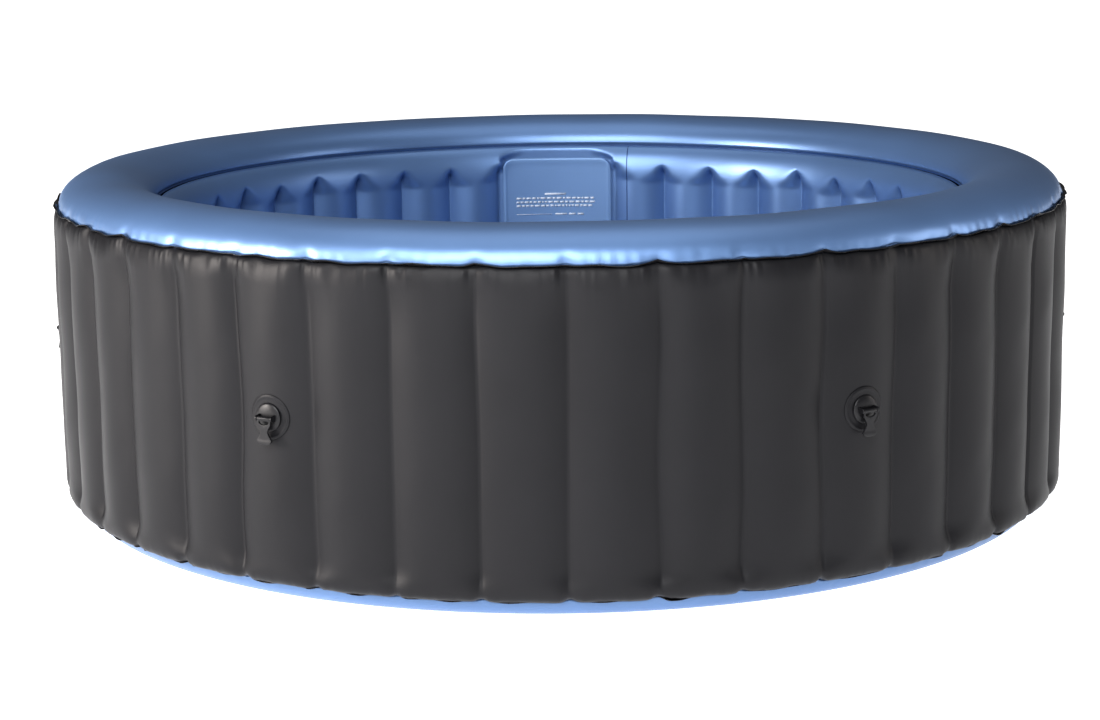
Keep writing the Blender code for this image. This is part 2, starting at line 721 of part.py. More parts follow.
def main():
    clear_scene()
    black = material("leather_grain_black_pvc", BLACK, 0.45)
    blue = material("pearl_blue_pvc", BLUE, 0.35)
    clear_blue = material("reinforced_blue_pvc", (0.20, 0.36, 0.62), 0.40)
    web = material("scrim_web_pvc", (0.30, 0.32, 0.36), 0.6)
    moulded = material("moulded_black_pvc", (0.028, 0.028, 0.032), 0.40)
    grey = material("grey_polypropylene", (0.32, 0.33, 0.35), 0.42)
    steel = material("stainless_spring_wire", (0.62, 0.62, 0.60), 0.25, 1.0)
    outer = make_outer_wall(black)
    make_rim(blue)
    inner = make_inner_wall(blue)
    rear = make_rear_sheet(blue)
    make_base_ring(blue)
    make_floor(blue)
    make_flange("top_weld_flange", TOP_FLANGE_ROOT, TOP_FLANGE_LEAN, black)
    make_flange("bottom_weld_flange", BOTTOM_FLANGE_ROOT, BOTTOM_FLANGE_LEAN, black)
    make_crease_tape(clear_blue)
    make_rim_web(web)
    make_tension_webs(web)
    channel = make_bubble_channel(blue)
    panel = make_panel(clear_blue)
    make_hose_port("suction", PORT_ANGLE, moulded, grey)
    make_hose_port("return", -PORT_ANGLE, moulded, grey)
    make_air_port(moulded)
    make_drain(moulded)
    make_inflation_valve(moulded, grey, steel)
    make_anchors(black, moulded)
    port_hole = PORT_RADIUS + HOLE_GAP
    ports = [(PORT_ANGLE, PORT_HEIGHT, port_hole), (-PORT_ANGLE, PORT_HEIGHT, port_hole)]
    drain = [(DRAIN_ANGLE, LOW_HEIGHT, DRAIN_TUBE[1] + HOLE_GAP)]
    air = [(AIR_ANGLE, LOW_HEIGHT, AIR_TUBE[1] + HOLE_GAP)]
    valve = [(VALVE_ANGLE, VALVE_HEIGHT, VALVE_BODY[1][0] + HOLE_GAP)]
    cut_fitting_holes(outer, WALL_RADIUS, ports + drain + air + valve, black)
    cut_fitting_holes(inner, INNER_GROOVE_RADIUS, drain + air, blue)
    cut_fitting_holes(rear, INNER_GROOVE_RADIUS, ports, blue)
    cut_fitting_holes(panel, PANEL_RADIUS, ports, blue)
    cut_fitting_holes(channel, CHANNEL_MIDDLE, drain, blue)


main()
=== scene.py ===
"""Looks of a round inflatable hot tub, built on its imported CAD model.

The frame is in metres with +Z up: the origin is the centre of the tub on the ground, the front is
at -Y and the hose ports are at +Y. An angle phi is measured about +Z from +Y towards +X, so a point
at phi and radius r is (r sin phi, r cos phi).
"""

import json
import math

import bmesh
import bpy
import numpy as np
from mathutils import Matrix

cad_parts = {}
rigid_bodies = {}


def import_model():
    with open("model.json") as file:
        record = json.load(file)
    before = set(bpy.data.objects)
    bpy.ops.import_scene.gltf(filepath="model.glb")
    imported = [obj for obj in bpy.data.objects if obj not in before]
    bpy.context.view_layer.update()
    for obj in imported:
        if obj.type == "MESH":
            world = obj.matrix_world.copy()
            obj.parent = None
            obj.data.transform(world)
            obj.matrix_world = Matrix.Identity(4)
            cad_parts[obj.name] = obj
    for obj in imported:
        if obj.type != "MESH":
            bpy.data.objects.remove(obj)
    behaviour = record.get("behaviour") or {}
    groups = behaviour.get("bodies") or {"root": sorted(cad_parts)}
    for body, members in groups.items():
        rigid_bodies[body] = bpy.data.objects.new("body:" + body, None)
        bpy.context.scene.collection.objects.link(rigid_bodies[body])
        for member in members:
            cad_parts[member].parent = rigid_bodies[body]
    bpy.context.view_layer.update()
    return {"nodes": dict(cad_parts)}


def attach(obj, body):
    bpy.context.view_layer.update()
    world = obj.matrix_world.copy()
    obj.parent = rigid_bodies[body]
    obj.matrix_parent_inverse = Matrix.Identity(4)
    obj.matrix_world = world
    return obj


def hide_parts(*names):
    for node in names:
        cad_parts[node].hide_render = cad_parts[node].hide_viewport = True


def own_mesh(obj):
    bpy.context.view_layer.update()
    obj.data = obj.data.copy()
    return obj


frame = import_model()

bl_info = {
    "name": "Inflatable Hot Tub",
    "version": (1, 0, 0),
    "blender": (4, 5, 0),
    "location": "View3D > Sidebar > Hot Tub",
    "description": "Builds the sheets, ribbons, anchors and ports of an inflatable hot tub",
    "category": "Object",
}

TURN = 2 * math.pi

# Places shared with the CAD model
CHAMBERS = 42
CHAMBER_ANGLE = TURN / CHAMBERS
RIBS = 40
PANEL_HALF_ANGLE = 0.1725
RIB_ANGLE = (TURN - 2 * PANEL_HALF_ANGLE) / RIBS
LAP_ANGLE = 0.212
SEAT_RADIUS = 1.018 * math.cos(CHAMBER_ANGLE / 6) + 0.0004
ANCHOR_COUNT = 6
ANCHOR_HEIGHT = 0.335
BASE_SEAT = SEAT_RADIUS + 0.0016
PIVOT_RADIUS = BASE_SEAT + 0.015
PORT_ANGLE = 0.5 * CHAMBER_ANGLE
PORT_HEIGHT = 0.200
AIR_ANGLE = 0.235
DRAIN_ANGLE = -0.374
LOW_HEIGHT = 0.075
VALVE_ANGLE = -1.5 * CHAMBER_ANGLE
VALVE_HEIGHT = 0.420

# Radii of the holes in the sheets
PORT_HOLE = 0.0225
VALVE_HOLE = 0.0190
DRAIN_HOLE = 0.0180
AIR_HOLE = 0.0150
AIR_HOLE_INSIDE = 0.0130
CHANNEL_HOLE = 0.0115

# Share of the blue sheet's brightness that the base sheet has: the base is the same blue sheet, darkened as
# painted shade near the ground
BASE_PAINTED_SHADE = 0.74


# ---------------------------------------------------------------- colours and settings


def linear(colour):
    """An sRGB hex colour as linear red, green and blue."""
    value = np.array([int(colour[i : i + 2], 16) / 255 for i in (1, 3, 5)])
    value = np.where(value <= 0.04045, value / 12.92, ((value + 0.055) / 1.055) ** 2.4)
    return tuple(float(part) for part in value)


def setting(name, text, default, unit="NONE"):
    return bpy.props.FloatProperty(name=name, description=text, default=default, unit=unit)


def size(name, text, default):
    return setting(name, text, default, "LENGTH")


def shade(name, text, default):
    return bpy.props.FloatVectorProperty(
        name=name, description=text, default=linear(default), size=3, min=0.0, max=1.0, subtype="COLOR"
    )


class TubShellSettings(bpy.types.PropertyGroup):
    wall_radius: size("Wall radius", "Radius of the outer wall at the middle of a chamber", 1.018)
    groove_depth: size("Groove depth", "Depth of a groove between two chambers", 0.0165)
    top_seam_radius: size("Top seam radius", "Radius of the seam between outer wall and rim", 1.006)
    top_seam_height: size("Top seam height", "Height of that seam", 0.6080)
    bottom_seam_radius: size("Bottom seam radius", "Radius of the seam between outer wall and base", 0.987)
    bottom_seam_height: size("Bottom seam height", "Height of that seam", 0.031)
    rim_height: size("Rim height", "Height of the top of the rim", 0.668)
    crease_radius: size("Crease radius", "Radius of the weld between rim and inner wall", 0.819)
    crease_height: size("Crease height", "Height of that weld", 0.606)
    inner_radius: size("Inner radius", "Radius of the inner wall at the bottom of a groove", 0.8055)
    rib_depth: size("Rib depth", "How far an inner rib stands out of its grooves", 0.0255)
    rib_top: size("Rib top", "Height at which the inner grooves run out", 0.566)
    base_radius: size("Base radius", "Radius at which the base meets the ground", 0.947)
    floor_radius: size("Floor radius", "Radius of the floor sheet", 0.7985)
    sheet: size("Sheet", "Thickness of the PVC sheets", 0.0009)


class TubFinishSettings(bpy.types.PropertyGroup):
    black: shade("Black sheet", "Colour of the grained outer sheet", "#29292c")
    blue: shade("Blue sheet", "Colour of the pearl sheet", "#7d9bc6")
    panel: shade("Panel", "Colour of the reinforced panel", "#86a4cc")
    ribbon: shade("Ribbon", "Colour of the welded black edge", "#1d1d20")
    moulded: shade("Mouldings", "Colour of the moulded black fittings", "#242427")
    grey: shade("Grey plastic", "Colour of the valve and screens", "#9a9c9f")
    print: shade("Print", "Colour of the printed marks", "#dfe8f5")


class TubStageSettings(bpy.types.PropertyGroup):
    lens: setting("Lens", "Focal length of the camera", 79.46, "CAMERA")
    floor: shade("Floor", "Colour of the studio floor", "#f4f4f5")
    floor_glow: setting("Floor glow", "Light that the lit floor gives off", 0.72)
    front_power: setting("Front light", "Power of the front softbox in watts", 290.0)
    top_power: setting("Top light", "Power of the top softbox in watts", 28.0)
    left_power: setting("Left light", "Power of the left softbox in watts", 270.0)
    right_power: setting("Right light", "Power of the right softbox in watts", 36.0)
    world: setting("Room", "Brightness of the room", 0.11)


# ---------------------------------------------------------------- meshes


def tub_points(phi, radius, height):
    """Points round the tub: x = radius sin phi, y = radius cos phi, z = height."""
    phi, radius, height = np.broadcast_arrays(phi, radius, height)
    return np.stack([radius * np.sin(phi), radius * np.cos(phi), height], axis=-1)


def angles_round(columns):
    """Evenly spaced angles round the tub, as one row."""
    return (np.arange(columns) * TURN / columns)[None, :]


def grid_faces(rows, columns, closed):
    """Quads of a grid of rows and columns; a closed grid joins its last column to its first."""
    across = columns if closed else columns - 1
    row, column = np.meshgrid(np.arange(rows - 1), np.arange(across), indexing="ij")
    after = (column + 1) % columns
    here, below = row * columns, (row + 1) * columns
    return np.stack([here + column, below + column, below + after, here + after], axis=-1).reshape(-1, 4)


def add_mesh(name, points, faces, finish):
    mesh = bpy.data.meshes.new(name)
    mesh.from_pydata(np.asarray(points, dtype=float).reshape(-1, 3).tolist(), [], [list(f) for f in faces])
    mesh.validate()
    mesh.shade_smooth()
    mesh.materials.append(finish)
    return add_piece(name, mesh)


def add_piece(name, data):
    piece = bpy.data.objects.new(name, data)
    bpy.context.collection.objects.link(piece)
    return piece


def surface(name, points, finish, closed=True, flip=False, keep=None, sheet=0.0):
    """A sheet through a grid of points; keep says which faces stay, from their middles."""
    faces = grid_faces(*points.shape[:2], closed)
    if flip:
        faces = faces[:, ::-1]
    if keep is not None:
        faces = faces[keep(points.reshape(-1, 3)[faces].mean(axis=1))]
    piece = add_mesh(name, points, faces.tolist(), finish)
    if keep is not None:
        edit(piece.data, drop_loose)
    if sheet:
        thicken(piece, sheet)
    return piece


def thicken(piece, sheet):
    """Gives a sheet its thickness, behind its faces."""
    solid = piece.modifiers.new("Sheet", "SOLIDIFY")
    solid.thickness, solid.offset = sheet, -1.0


def bevel(piece, width, segments, degrees):
    """Rounds the edges that bend by more than an angle."""
    edge = piece.modifiers.new("Edge", "BEVEL")
    edge.width, edge.segments = width, segments
    edge.limit_method, edge.angle_limit = "ANGLE", math.radians(degrees)


def edit(mesh, change):
    """Opens a mesh in bmesh, changes it and writes it back."""
    work = bmesh.new()
    work.from_mesh(mesh)
    change(work)
    work.to_mesh(mesh)
    work.free()
    mesh.shade_smooth()


def drop_loose(work):
    """Removes the points that no face uses."""
    bmesh.ops.delete(work, geom=[v for v in work.verts if not v.link_faces], context="VERTS")


def close_pole(work):
    """Merges points that lie in one place, such as the ring of points at a middle."""
    bmesh.ops.remove_doubles(work, verts=work.verts, dist=1e-6)


def close_solid(work):
    """Closes seams and poles and turns the faces outwards."""
    close_pole(work)
    bmesh.ops.dissolve_degenerate(work, edges=work.edges, dist=1e-7)
    bmesh.ops.recalc_face_normals(work, faces=work.faces)


def finish_solid(mesh, degrees=38.0):
    edit(mesh, close_solid)
    mesh.set_sharp_from_angle(angle=math.radians(degrees))


def on_body(piece, body, slot, *nodes):
    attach(piece, body)
    if nodes:
        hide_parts(*nodes)
    return piece


def merged(name, pieces):
    """Several pieces of one finish as one object."""
    work = bmesh.new()
    for item in pieces:
        work.from_mesh(item.data)
    mesh = bpy.data.meshes.new(name)
    work.to_mesh(mesh)
    work.free()
    mesh.materials.append(pieces[0].data.materials[0])
    for item in pieces:
        bpy.data.objects.remove(item)
    return add_piece(name, mesh)


def seat_points(points, angle, radius, height):
    """Local points put on the wall: local z points out of the tub, y up and x along the wall."""
    points = np.asarray(points, dtype=float)
    x, y, z = points[..., 0], points[..., 1], points[..., 2]
    out, sine, cosine = radius + z, math.sin(angle), math.cos(angle)
    return np.stack([out * sine - x * cosine, out * cosine + x * sine, height + y], axis=-1)


def turned_points(profile, segments, grip=None):
    """A profile of (radius, height) turned about z.

    A grip (depth, teeth, lowest, highest, least radius) cuts flutes of depth (1 - |cos(teeth a / 2)|)
    into the rows between those heights that stand out further than that radius.
    """
    profile = np.array(profile, dtype=float)
    a = np.arange(segments) * TURN / segments
    height = profile[:, 1:] * np.ones_like(a)
    radius = profile[:, :1] * np.ones_like(a)
    if grip:
        depth, teeth, lowest, highest, least = grip
        inside = (height >= lowest) & (height <= highest) & (radius > least)
        radius = radius - inside * depth * (1 - np.abs(np.cos(teeth * a / 2)))
    return np.stack([radius * np.cos(a), radius * np.sin(a), height], axis=-1)


def rounded(corners, radius, steps=4):
    """A closed profile with each corner rounded: arcs are quadratic curves between cut points."""
    corners = np.array(corners, dtype=float)
    before, after = np.roll(corners, 1, axis=0), np.roll(corners, -1, axis=0)
    reach_in = np.linalg.norm(before - corners, axis=1, keepdims=True)
    reach_out = np.linalg.norm(after - corners, axis=1, keepdims=True)
    start = corners + (before - corners) * np.minimum(radius / np.maximum(reach_in, 1e-9), 0.45)
    end = corners + (after - corners) * np.minimum(radius / np.maximum(reach_out, 1e-9), 0.45)
    t = np.linspace(0, 1, steps)[None, :, None]
    curve = (1 - t) ** 2 * start[:, None] + 2 * t * (1 - t) * corners[:, None] + t**2 * end[:, None]
    return curve.reshape(-1, 2)


def turned(name, profile, segments, finish, place, grip=None):
    """A turned solid on the wall; the profile runs round its section and may touch the axis."""
    points = turned_points(profile, segments, grip)
    points = np.concatenate([points, points[:1]])
    faces = grid_faces(len(points), segments, True)
    piece = add_mesh(name, seat_points(points, *place), faces.tolist(), finish)
    finish_solid(piece.data)
    return piece


# ---------------------------------------------------------------- materials


def add(tree, kind, settings=None, links=None):
    """Adds a node of a kind, sets its fields or input sockets, and links its inputs."""
    node = tree.nodes.new(kind)
    for key, value in (settings or {}).items():
        if isinstance(key, str) and hasattr(node, key):
            setattr(node, key, value)
        else:
            node.inputs[key].default_value = value
    for key, source in (links or {}).items():
        tree.links.new(source, node.inputs[key])
    return node


def start_material(name, settings):
    """A Principled material with its even values set on the shader's own sockets."""
    finish = bpy.data.materials.new(name)
    finish.use_nodes = True
    shader = finish.node_tree.nodes["Principled BSDF"]
    for key, value in settings.items():
        shader.inputs[key].default_value = value
    return finish, finish.node_tree, shader


def texture(tree, kind, settings):
    """A texture on the piece's own Object coordinates."""
    place = add(tree, "ShaderNodeTexCoord").outputs["Object"]
    return add(tree, kind, settings, {"Vector": place})


def noise(tree, scale, detail, roughness=0.5):
    settings = {"Scale": scale, "Detail": detail, "Roughness": roughness}
    return texture(tree, "ShaderNodeTexNoise", settings).outputs["Fac"]


def total(tree, first, second):
    return add(tree, "ShaderNodeMath", {"operation": "ADD"}, {0: first, 1: second}).outputs["Value"]


def tint(tree, shader, source, colours, span=(0.3, 0.7)):
    """The base colour goes from one colour to the other as the source crosses the span."""
    node = add(tree, "ShaderNodeValToRGB", {}, {"Fac": source})
    for stop, place, colour in zip(node.color_ramp.elements, span, colours):
        stop.position, stop.color = place, (*colour, 1)
    tree.links.new(node.outputs["Color"], shader.inputs["Base Color"])


def gloss(tree, shader, source, low, high, span=(0.3, 0.7)):
    """The roughness goes from low to high as the source crosses the span."""
    settings = {"From Min": span[0], "From Max": span[1], "To Min": low, "To Max": high}
    node = add(tree, "ShaderNodeMapRange", settings, {"Value": source})
    tree.links.new(node.outputs["Result"], shader.inputs["Roughness"])


def bump(tree, shader, height, strength, distance):
    """Raises the surface by a texture, on top of any bump that the shader already has."""
    node = add(tree, "ShaderNodeBump", {"Strength": strength, "Distance": distance}, {"Height": height})
    normal = shader.inputs["Normal"]
    if normal.is_linked:
        tree.links.new(normal.links[0].from_socket, node.inputs["Normal"])
    tree.links.new(node.outputs["Normal"], normal)


def shades(colour, change):
    """A colour made darker and lighter by a share."""
    return [tuple(min(1.0, part * factor) for part in colour) for factor in (1 - change, 1 + change)]


def leather_grain_pvc(colour):
    """Calendered PVC sheet with a laminated leather grain of about 1.3 mm: satin, with soft glints."""
    finish, tree, shader = start_material(
        "leather_grain_laminated_pvc", {"IOR": 1.53, "Specular IOR Level": 0.30}
    )
    cloud = noise(tree, 3.2, 3.0, 0.55)
    tint(tree, shader, cloud, shades(colour, 0.10))
    gloss(tree, shader, cloud, 0.40, 0.50)
    cells = texture(tree, "ShaderNodeTexVoronoi", {"Scale": 760.0, "Randomness": 1.0}).outputs["Distance"]
    bump(tree, shader, total(tree, cells, noise(tree, 900.0, 2.0)), 0.16, 0.0004)
    return finish


def pearl_pvc(name, colour):
    """Calendered PVC sheet with a pearl pigment: half metallic, so bright and dark zones differ much."""
    finish, tree, shader = start_material(
        name, {"Metallic": 0.55, "IOR": 1.53, "Coat Weight": 0.25, "Coat Roughness": 0.36}
    )
    cloud = noise(tree, 2.4, 3.0)
    tint(tree, shader, cloud, shades(colour, 0.05), (0.32, 0.68))
    gloss(tree, shader, cloud, 0.36, 0.42)
    bump(tree, shader, noise(tree, 22.0, 2.0), 0.10, 0.002)  # slack sheet
    bump(tree, shader, noise(tree, 1100.0, 1.0), 0.05, 0.0002)  # roller texture
    return finish


def scrim_pvc(name, colour, metallic):
    """PVC sheet with a woven scrim inside, whose threads show faintly as a grid."""
    finish, tree, shader = start_material(name, {"Metallic": metallic, "IOR": 1.53})
    threads = [
        texture(tree, "ShaderNodeTexWave", {"bands_direction": way, "Scale": 98.0, "Distortion": 0.4})
        for way in ("X", "Z")
    ]
    weave = total(tree, *(thread.outputs["Fac"] for thread in threads))
    tint(tree, shader, noise(tree, 4.0, 2.0), shades(colour, 0.05))
    gloss(tree, shader, weave, 0.40, 0.48, (0.0, 2.0))
    bump(tree, shader, weave, 0.06, 0.0003)
    return finish


def moulded_plastic(name, colour, low, high, change):
    """Moulded or hot-pressed plastic: an even colour with a fine spark-eroded texture."""
    finish, tree, shader = start_material(name, {"IOR": 1.50})
    cloud = noise(tree, 60.0, 3.0)
    tint(tree, shader, cloud, shades(colour, change))
    gloss(tree, shader, cloud, low, high)
    bump(tree, shader, noise(tree, 2600.0, 1.0), 0.10, 0.0001)
    return finish


def spring_wire():
    """Drawn stainless wire: bright metal with small drawing marks."""
    finish, tree, shader = start_material("drawn_stainless_wire", {"Metallic": 1.0})
    marks = noise(tree, 900.0, 2.0)
    tint(tree, shader, marks, (linear("#b4b4b0"), linear("#cfcfca")))
    gloss(tree, shader, marks, 0.20, 0.34, (0.0, 1.0))
    return finish


def screen_ink(colour):
    """Screen-printed ink: pale, slightly uneven cover and matt."""
    finish, tree, shader = start_material("screen_printed_ink", {"IOR": 1.50})
    cover = noise(tree, 300.0, 2.0)
    tint(tree, shader, cover, (shades(colour, 0.15)[0], colour), (0.35, 0.60))
    gloss(tree, shader, cover, 0.50, 0.62, (0.0, 1.0))
    return finish


FINISHES = {}


def finishes():
    """The materials of the tub, made once."""
    if not FINISHES:
        paint = bpy.context.scene.tub_finish
        blue, black = tuple(paint.blue), tuple(paint.moulded)
        # The base band is the blue sheet made darker: painted shade where it meets the ground
        base = tuple(BASE_PAINTED_SHADE * part for part in blue)
        FINISHES["black"] = leather_grain_pvc(tuple(paint.black))
        FINISHES["blue"] = pearl_pvc("calendered_pearl_pvc", blue)
        FINISHES["base"] = pearl_pvc("base_pvc_darkened_as_painted_shade", base)
        FINISHES["panel"] = scrim_pvc("scrim_reinforced_pvc", tuple(paint.panel), 0.35)
        FINISHES["web"] = scrim_pvc("scrim_web_pvc", linear("#a9adb5"), 0.0)
        FINISHES["ribbon"] = moulded_plastic("heat_welded_pvc_edge", tuple(paint.ribbon), 0.24, 0.34, 0.10)
        # The tape's dark blue is partly a real weld tape and partly painted shade of the thin seam line at
        # the crease
        FINISHES["tape"] = moulded_plastic("dark_blue_tape_with_painted_crease_shade", linear("#34507f"), 0.30, 0.40, 0.06)
        FINISHES["moulded"] = moulded_plastic("moulded_soft_black_pvc", black, 0.34, 0.44, 0.08)
        FINISHES["grey"] = moulded_plastic("moulded_grey_polypropylene", tuple(paint.grey), 0.38, 0.48, 0.05)
        FINISHES["steel"] = spring_wire()
        FINISHES["ink"] = screen_ink(tuple(paint.print))
    return FINISHES


# ---------------------------------------------------------------- shapes


def smooth_step(x, low, high):
    """0 below low, 1 above high, and 3t^2 - 2t^3 between."""
    t = np.clip((x - low) / (high - low), 0, 1)
    return t * t * (3 - 2 * t)


def noise_round(phi, seed, first, last):
    """A smooth random wave round the tub, about -1 to 1: a sum of cosines of whole frequencies."""
    draw = np.random.default_rng(seed)
    waves = np.arange(first, last + 1)
    phase = draw.uniform(0, TURN, len(waves))
    weight = draw.uniform(0.4, 1.0, len(waves))
    waves_sum = (weight * np.cos(waves * np.asarray(phi)[..., None] + phase)).sum(axis=-1)
    return waves_sum / np.sqrt((weight**2).sum())


def chamber_draw(seed, low, high):
    """One random value for each chamber or groove, with the first repeated at the end."""
    values = np.random.default_rng(seed).uniform(low, high, CHAMBERS)
    return np.append(values, values[0])


def chamber_place(phi):
    """Which chamber an angle lies in, and its share 0 to 1 across it."""
    share = np.mod(phi / CHAMBER_ANGLE, CHAMBERS)
    index = np.minimum(share.astype(int), CHAMBERS - 1)
    return index, share - index


def at_grooves(phi, height, after, before):
    """A bump at each groove: height exp(-(d / width)^2), where d is the share of a chamber to it.

    The width is after on the groove's far side, where the angle is larger, and before on its near side.
    """
    index, u = chamber_place(phi)
    far_side = height[index] * np.exp(-((u / after) ** 2))
    return far_side + height[index + 1] * np.exp(-(((1 - u) / before) ** 2))


def seam_rise(phi):
    """How far the top seam is lifted: a peak at each groove, steeper on one side, and a slow wave."""
    index, u = chamber_place(phi)
    peak = chamber_draw(11, 0.0005, 0.0062)
    steep = chamber_draw(12, 0.05, 0.16)
    slow = chamber_draw(13, 0.10, 0.30)
    near = peak[index] * np.exp(-u / slow[index]) + peak[index + 1] * np.exp(-(1 - u) / steep[index + 1])
    return near - 0.0022 + 0.0007 * noise_round(phi, 14, 60, 110)


def seam_shift(phi):
    """How far the top seam moves in and out: it pulls in at a groove and wanders a little."""
    pull = at_grooves(phi, chamber_draw(15, 0.001, 0.004), 0.10, 0.10)
    return 0.0008 * noise_round(phi, 16, 40, 90) - pull


def foot_rise(phi):
    """How far the bottom seam is lifted: a low notch at each groove."""
    notch = at_grooves(phi, chamber_draw(21, 0.003, 0.006), 0.07, 0.07)
    return notch + 0.0006 * noise_round(phi, 22, 50, 100)


def hole_rows(height, radius):
    """Heights of four rows of points across a round hole, so that its faces are small."""
    return [height + radius * share for share in (1, 0.33, -0.33, -1)]


def wall_profile():
    """Rows down the wall at the middle of a chamber: a top arc, a straight part and a foot arc.

    The top arc is a quarter ellipse. The foot arc is squarer: |x|^2.7 + |y|^2.7 = 1.
    """
    shell = bpy.context.scene.tub_shell
    turn, back = np.linspace(0, math.pi / 2, 13), np.linspace(math.pi / 2, 0, 10)
    power = 2 / 2.7
    top_arc, foot_arc = 0.046, 0.032
    high, low = shell.top_seam_height - top_arc, shell.bottom_seam_height + foot_arc
    straight = np.array([
        0.520, 0.480, *hole_rows(VALVE_HEIGHT, VALVE_HOLE), 0.355, 0.310, 0.265,
        *hole_rows(PORT_HEIGHT, PORT_HOLE), 0.135, *hole_rows(LOW_HEIGHT, DRAIN_HOLE)[:3],
    ])
    top_out = shell.wall_radius - shell.top_seam_radius
    foot_out = shell.wall_radius - shell.bottom_seam_radius
    radius = [
        shell.top_seam_radius + top_out * np.sin(turn),
        shell.wall_radius + 0.0012 * np.sin(TURN * (high - straight) / (high - low)) ** 2,
        shell.bottom_seam_radius + foot_out * np.sin(back) ** power,
    ]
    height = [
        shell.top_seam_height - top_arc * (1 - np.cos(turn)),
        straight,
        shell.bottom_seam_height + foot_arc * (1 - np.cos(back) ** power),
    ]
    return np.concatenate(radius), np.concatenate(height)


def wall_points(columns_each):
    """The pillowed wall.

    Across a chamber the sheet stands out as 1 - |2u - 1|^n, so it is flat in the middle and falls
    into a groove at each side. The grooves wander as a sine of the height. Near a seam the sheet
    gathers in pleats, a sine across the chamber that fades with the distance from the seam.
    """
    shell = bpy.context.scene.tub_shell
    radius, height = wall_profile()
    radius, height = radius[:, None], height[:, None]
    k = np.repeat(np.arange(CHAMBERS), columns_each)[None, :]
    u = np.tile(np.arange(columns_each) / columns_each, CHAMBERS)[None, :]
    u = u - 0.0275 * np.sin(TURN * u)
    wander = chamber_draw(31, -0.004, 0.004)
    wave = chamber_draw(32, 0, TURN)
    lean = chamber_draw(33, -0.003, 0.003)
    rise = (height - 0.3) / 0.3
    inner = smooth_step(height, 0.03, 0.12) * (1 - smooth_step(height, 0.50, 0.60))

    def groove(index):
        return (wander[index] * np.sin(4.2 * height / 0.3 + wave[index]) + lean[index] * rise) * inner

    left = k * CHAMBER_ANGLE + groove(k) / shell.wall_radius
    right = (k + 1) * CHAMBER_ANGLE + groove(k + 1) / shell.wall_radius
    phi = left * (1 - u) + right * u
    down = shell.top_seam_height - height
    up = height - shell.bottom_seam_height
    ends = smooth_step(down, 0.0, 0.070) * smooth_step(up, 0.0, 0.055)
    power = 2.05 + 1.8 * (1 - ends)
    bulge = 1 - np.abs(2 * u - 1) ** power
    depth = shell.groove_depth * (0.10 + 0.90 * ends) * chamber_draw(34, 0.85, 1.15)[k]
    full = chamber_draw(35, -0.0008, 0.0010)[k]
    skew = chamber_draw(36, -0.0016, 0.0016)[k]
    r = radius - depth * (1 - bulge) + (full + skew * (2 * u - 1)) * bulge * ends
    z = height * np.ones_like(r)
    # pleats at the top and bottom seams
    count = np.random.default_rng(37).integers(5, 8, CHAMBERS)[k]
    phase = chamber_draw(38, 0, TURN)[k]
    warp = 0.06 * np.sin(TURN * 2 * u + phase)
    edge = 0.30 + 0.70 * np.abs(2 * u - 1) ** 1.5
    turns = TURN * count * (u + warp) + phase
    pleat = (np.sin(turns) + 0.4 * np.sin(2 * turns + 1.0)) * edge
    reach = 0.026 + 0.010 * np.sin(TURN * 3 * u + 2 * phase)
    top = 0.0023 * pleat * np.exp(-((down / reach) ** 1.8)) * (0.25 + 0.75 * smooth_step(down, 0.0, 0.008))
    foot = 0.0009 * np.sin(TURN * (count + 1) * (u - warp)) * np.exp(-((up / 0.014) ** 1.6))
    foot = foot * smooth_step(up, 0, 0.004)
    # a pinch where a groove runs into the seam
    side = np.minimum(u, 1 - u) * CHAMBER_ANGLE
    pinch = 0.0035 * np.exp(-((side / (0.010 + 0.25 * down)) ** 2)) * np.exp(-down / 0.03)
    pinch_low = 0.0030 * np.exp(-((side / (0.010 + 0.2 * up)) ** 2)) * np.exp(-up / 0.025)
    # a slack, shallow ripple over the whole sheet
    slack = 0.0005 * noise_round(phi + 0.8 * height, 39, 20, 70) * ends * bulge
    r = r + top + foot - pinch - pinch_low + slack
    near_top, near_foot = np.exp(-((down / 0.040) ** 2)), np.exp(-((up / 0.026) ** 2))
    r = r + seam_shift(phi) * near_top
    z = z + seam_rise(phi) * near_top + foot_rise(phi) * near_foot
    return tub_points(phi, r, z)


def away_from(fittings):
    """Keeps faces that are clear of the round fittings, given as (angle, height, radius)."""

    def keep(middles):
        phi = np.arctan2(middles[:, 0], middles[:, 1])
        reach = np.hypot(middles[:, 0], middles[:, 1])
        clear = np.ones(len(middles), dtype=bool)
        for angle, height, radius in fittings:
            aside = np.hypot((phi - angle) * reach, middles[:, 2] - height)
            clear &= aside > radius
        return clear

    return keep


def rim_points(columns, rows):
    """Half an ellipse from the crease over the crown to the top seam.

    height = foot + (crown - foot) sin t, and radius = middle - half cos t. Dimples at the grooves
    and gathers between them fade inwards from the seam.
    """
    shell = bpy.context.scene.tub_shell
    t = np.linspace(0, 1, rows)[:, None]
    t = math.pi * (t - 0.025 * np.sin(TURN * t))
    phi = angles_round(columns)
    middle = (shell.crease_radius + shell.top_seam_radius) / 2
    half = (shell.top_seam_radius - shell.crease_radius) / 2
    share = t / math.pi
    foot = shell.crease_height + (shell.top_seam_height + 0.0004 - shell.crease_height) * share
    radius = middle - half * np.cos(t) + 0 * phi
    height = foot + (shell.rim_height - foot) * np.sin(t) ** 0.94 + 0 * phi
    away = (math.pi - t) * half
    near = np.exp(-((away / 0.022) ** 1.5))
    width = (0.006 + 0.12 * away) / (CHAMBER_ANGLE * shell.top_seam_radius)
    dimple = at_grooves(phi, chamber_draw(41, 0.0008, 0.0034), width, width)
    gather = 0.0007 * noise_round(phi, 42, 180, 300)
    slack = 0.0005 * noise_round(phi, 43, 7, 24) * np.sin(t)
    out, up = -np.cos(t), np.sin(t)
    move = (gather - dimple) * near + slack
    radius = radius + out * move + seam_shift(phi) * near
    height = height + up * move + seam_rise(phi) * near
    return tub_points(phi, radius, height)


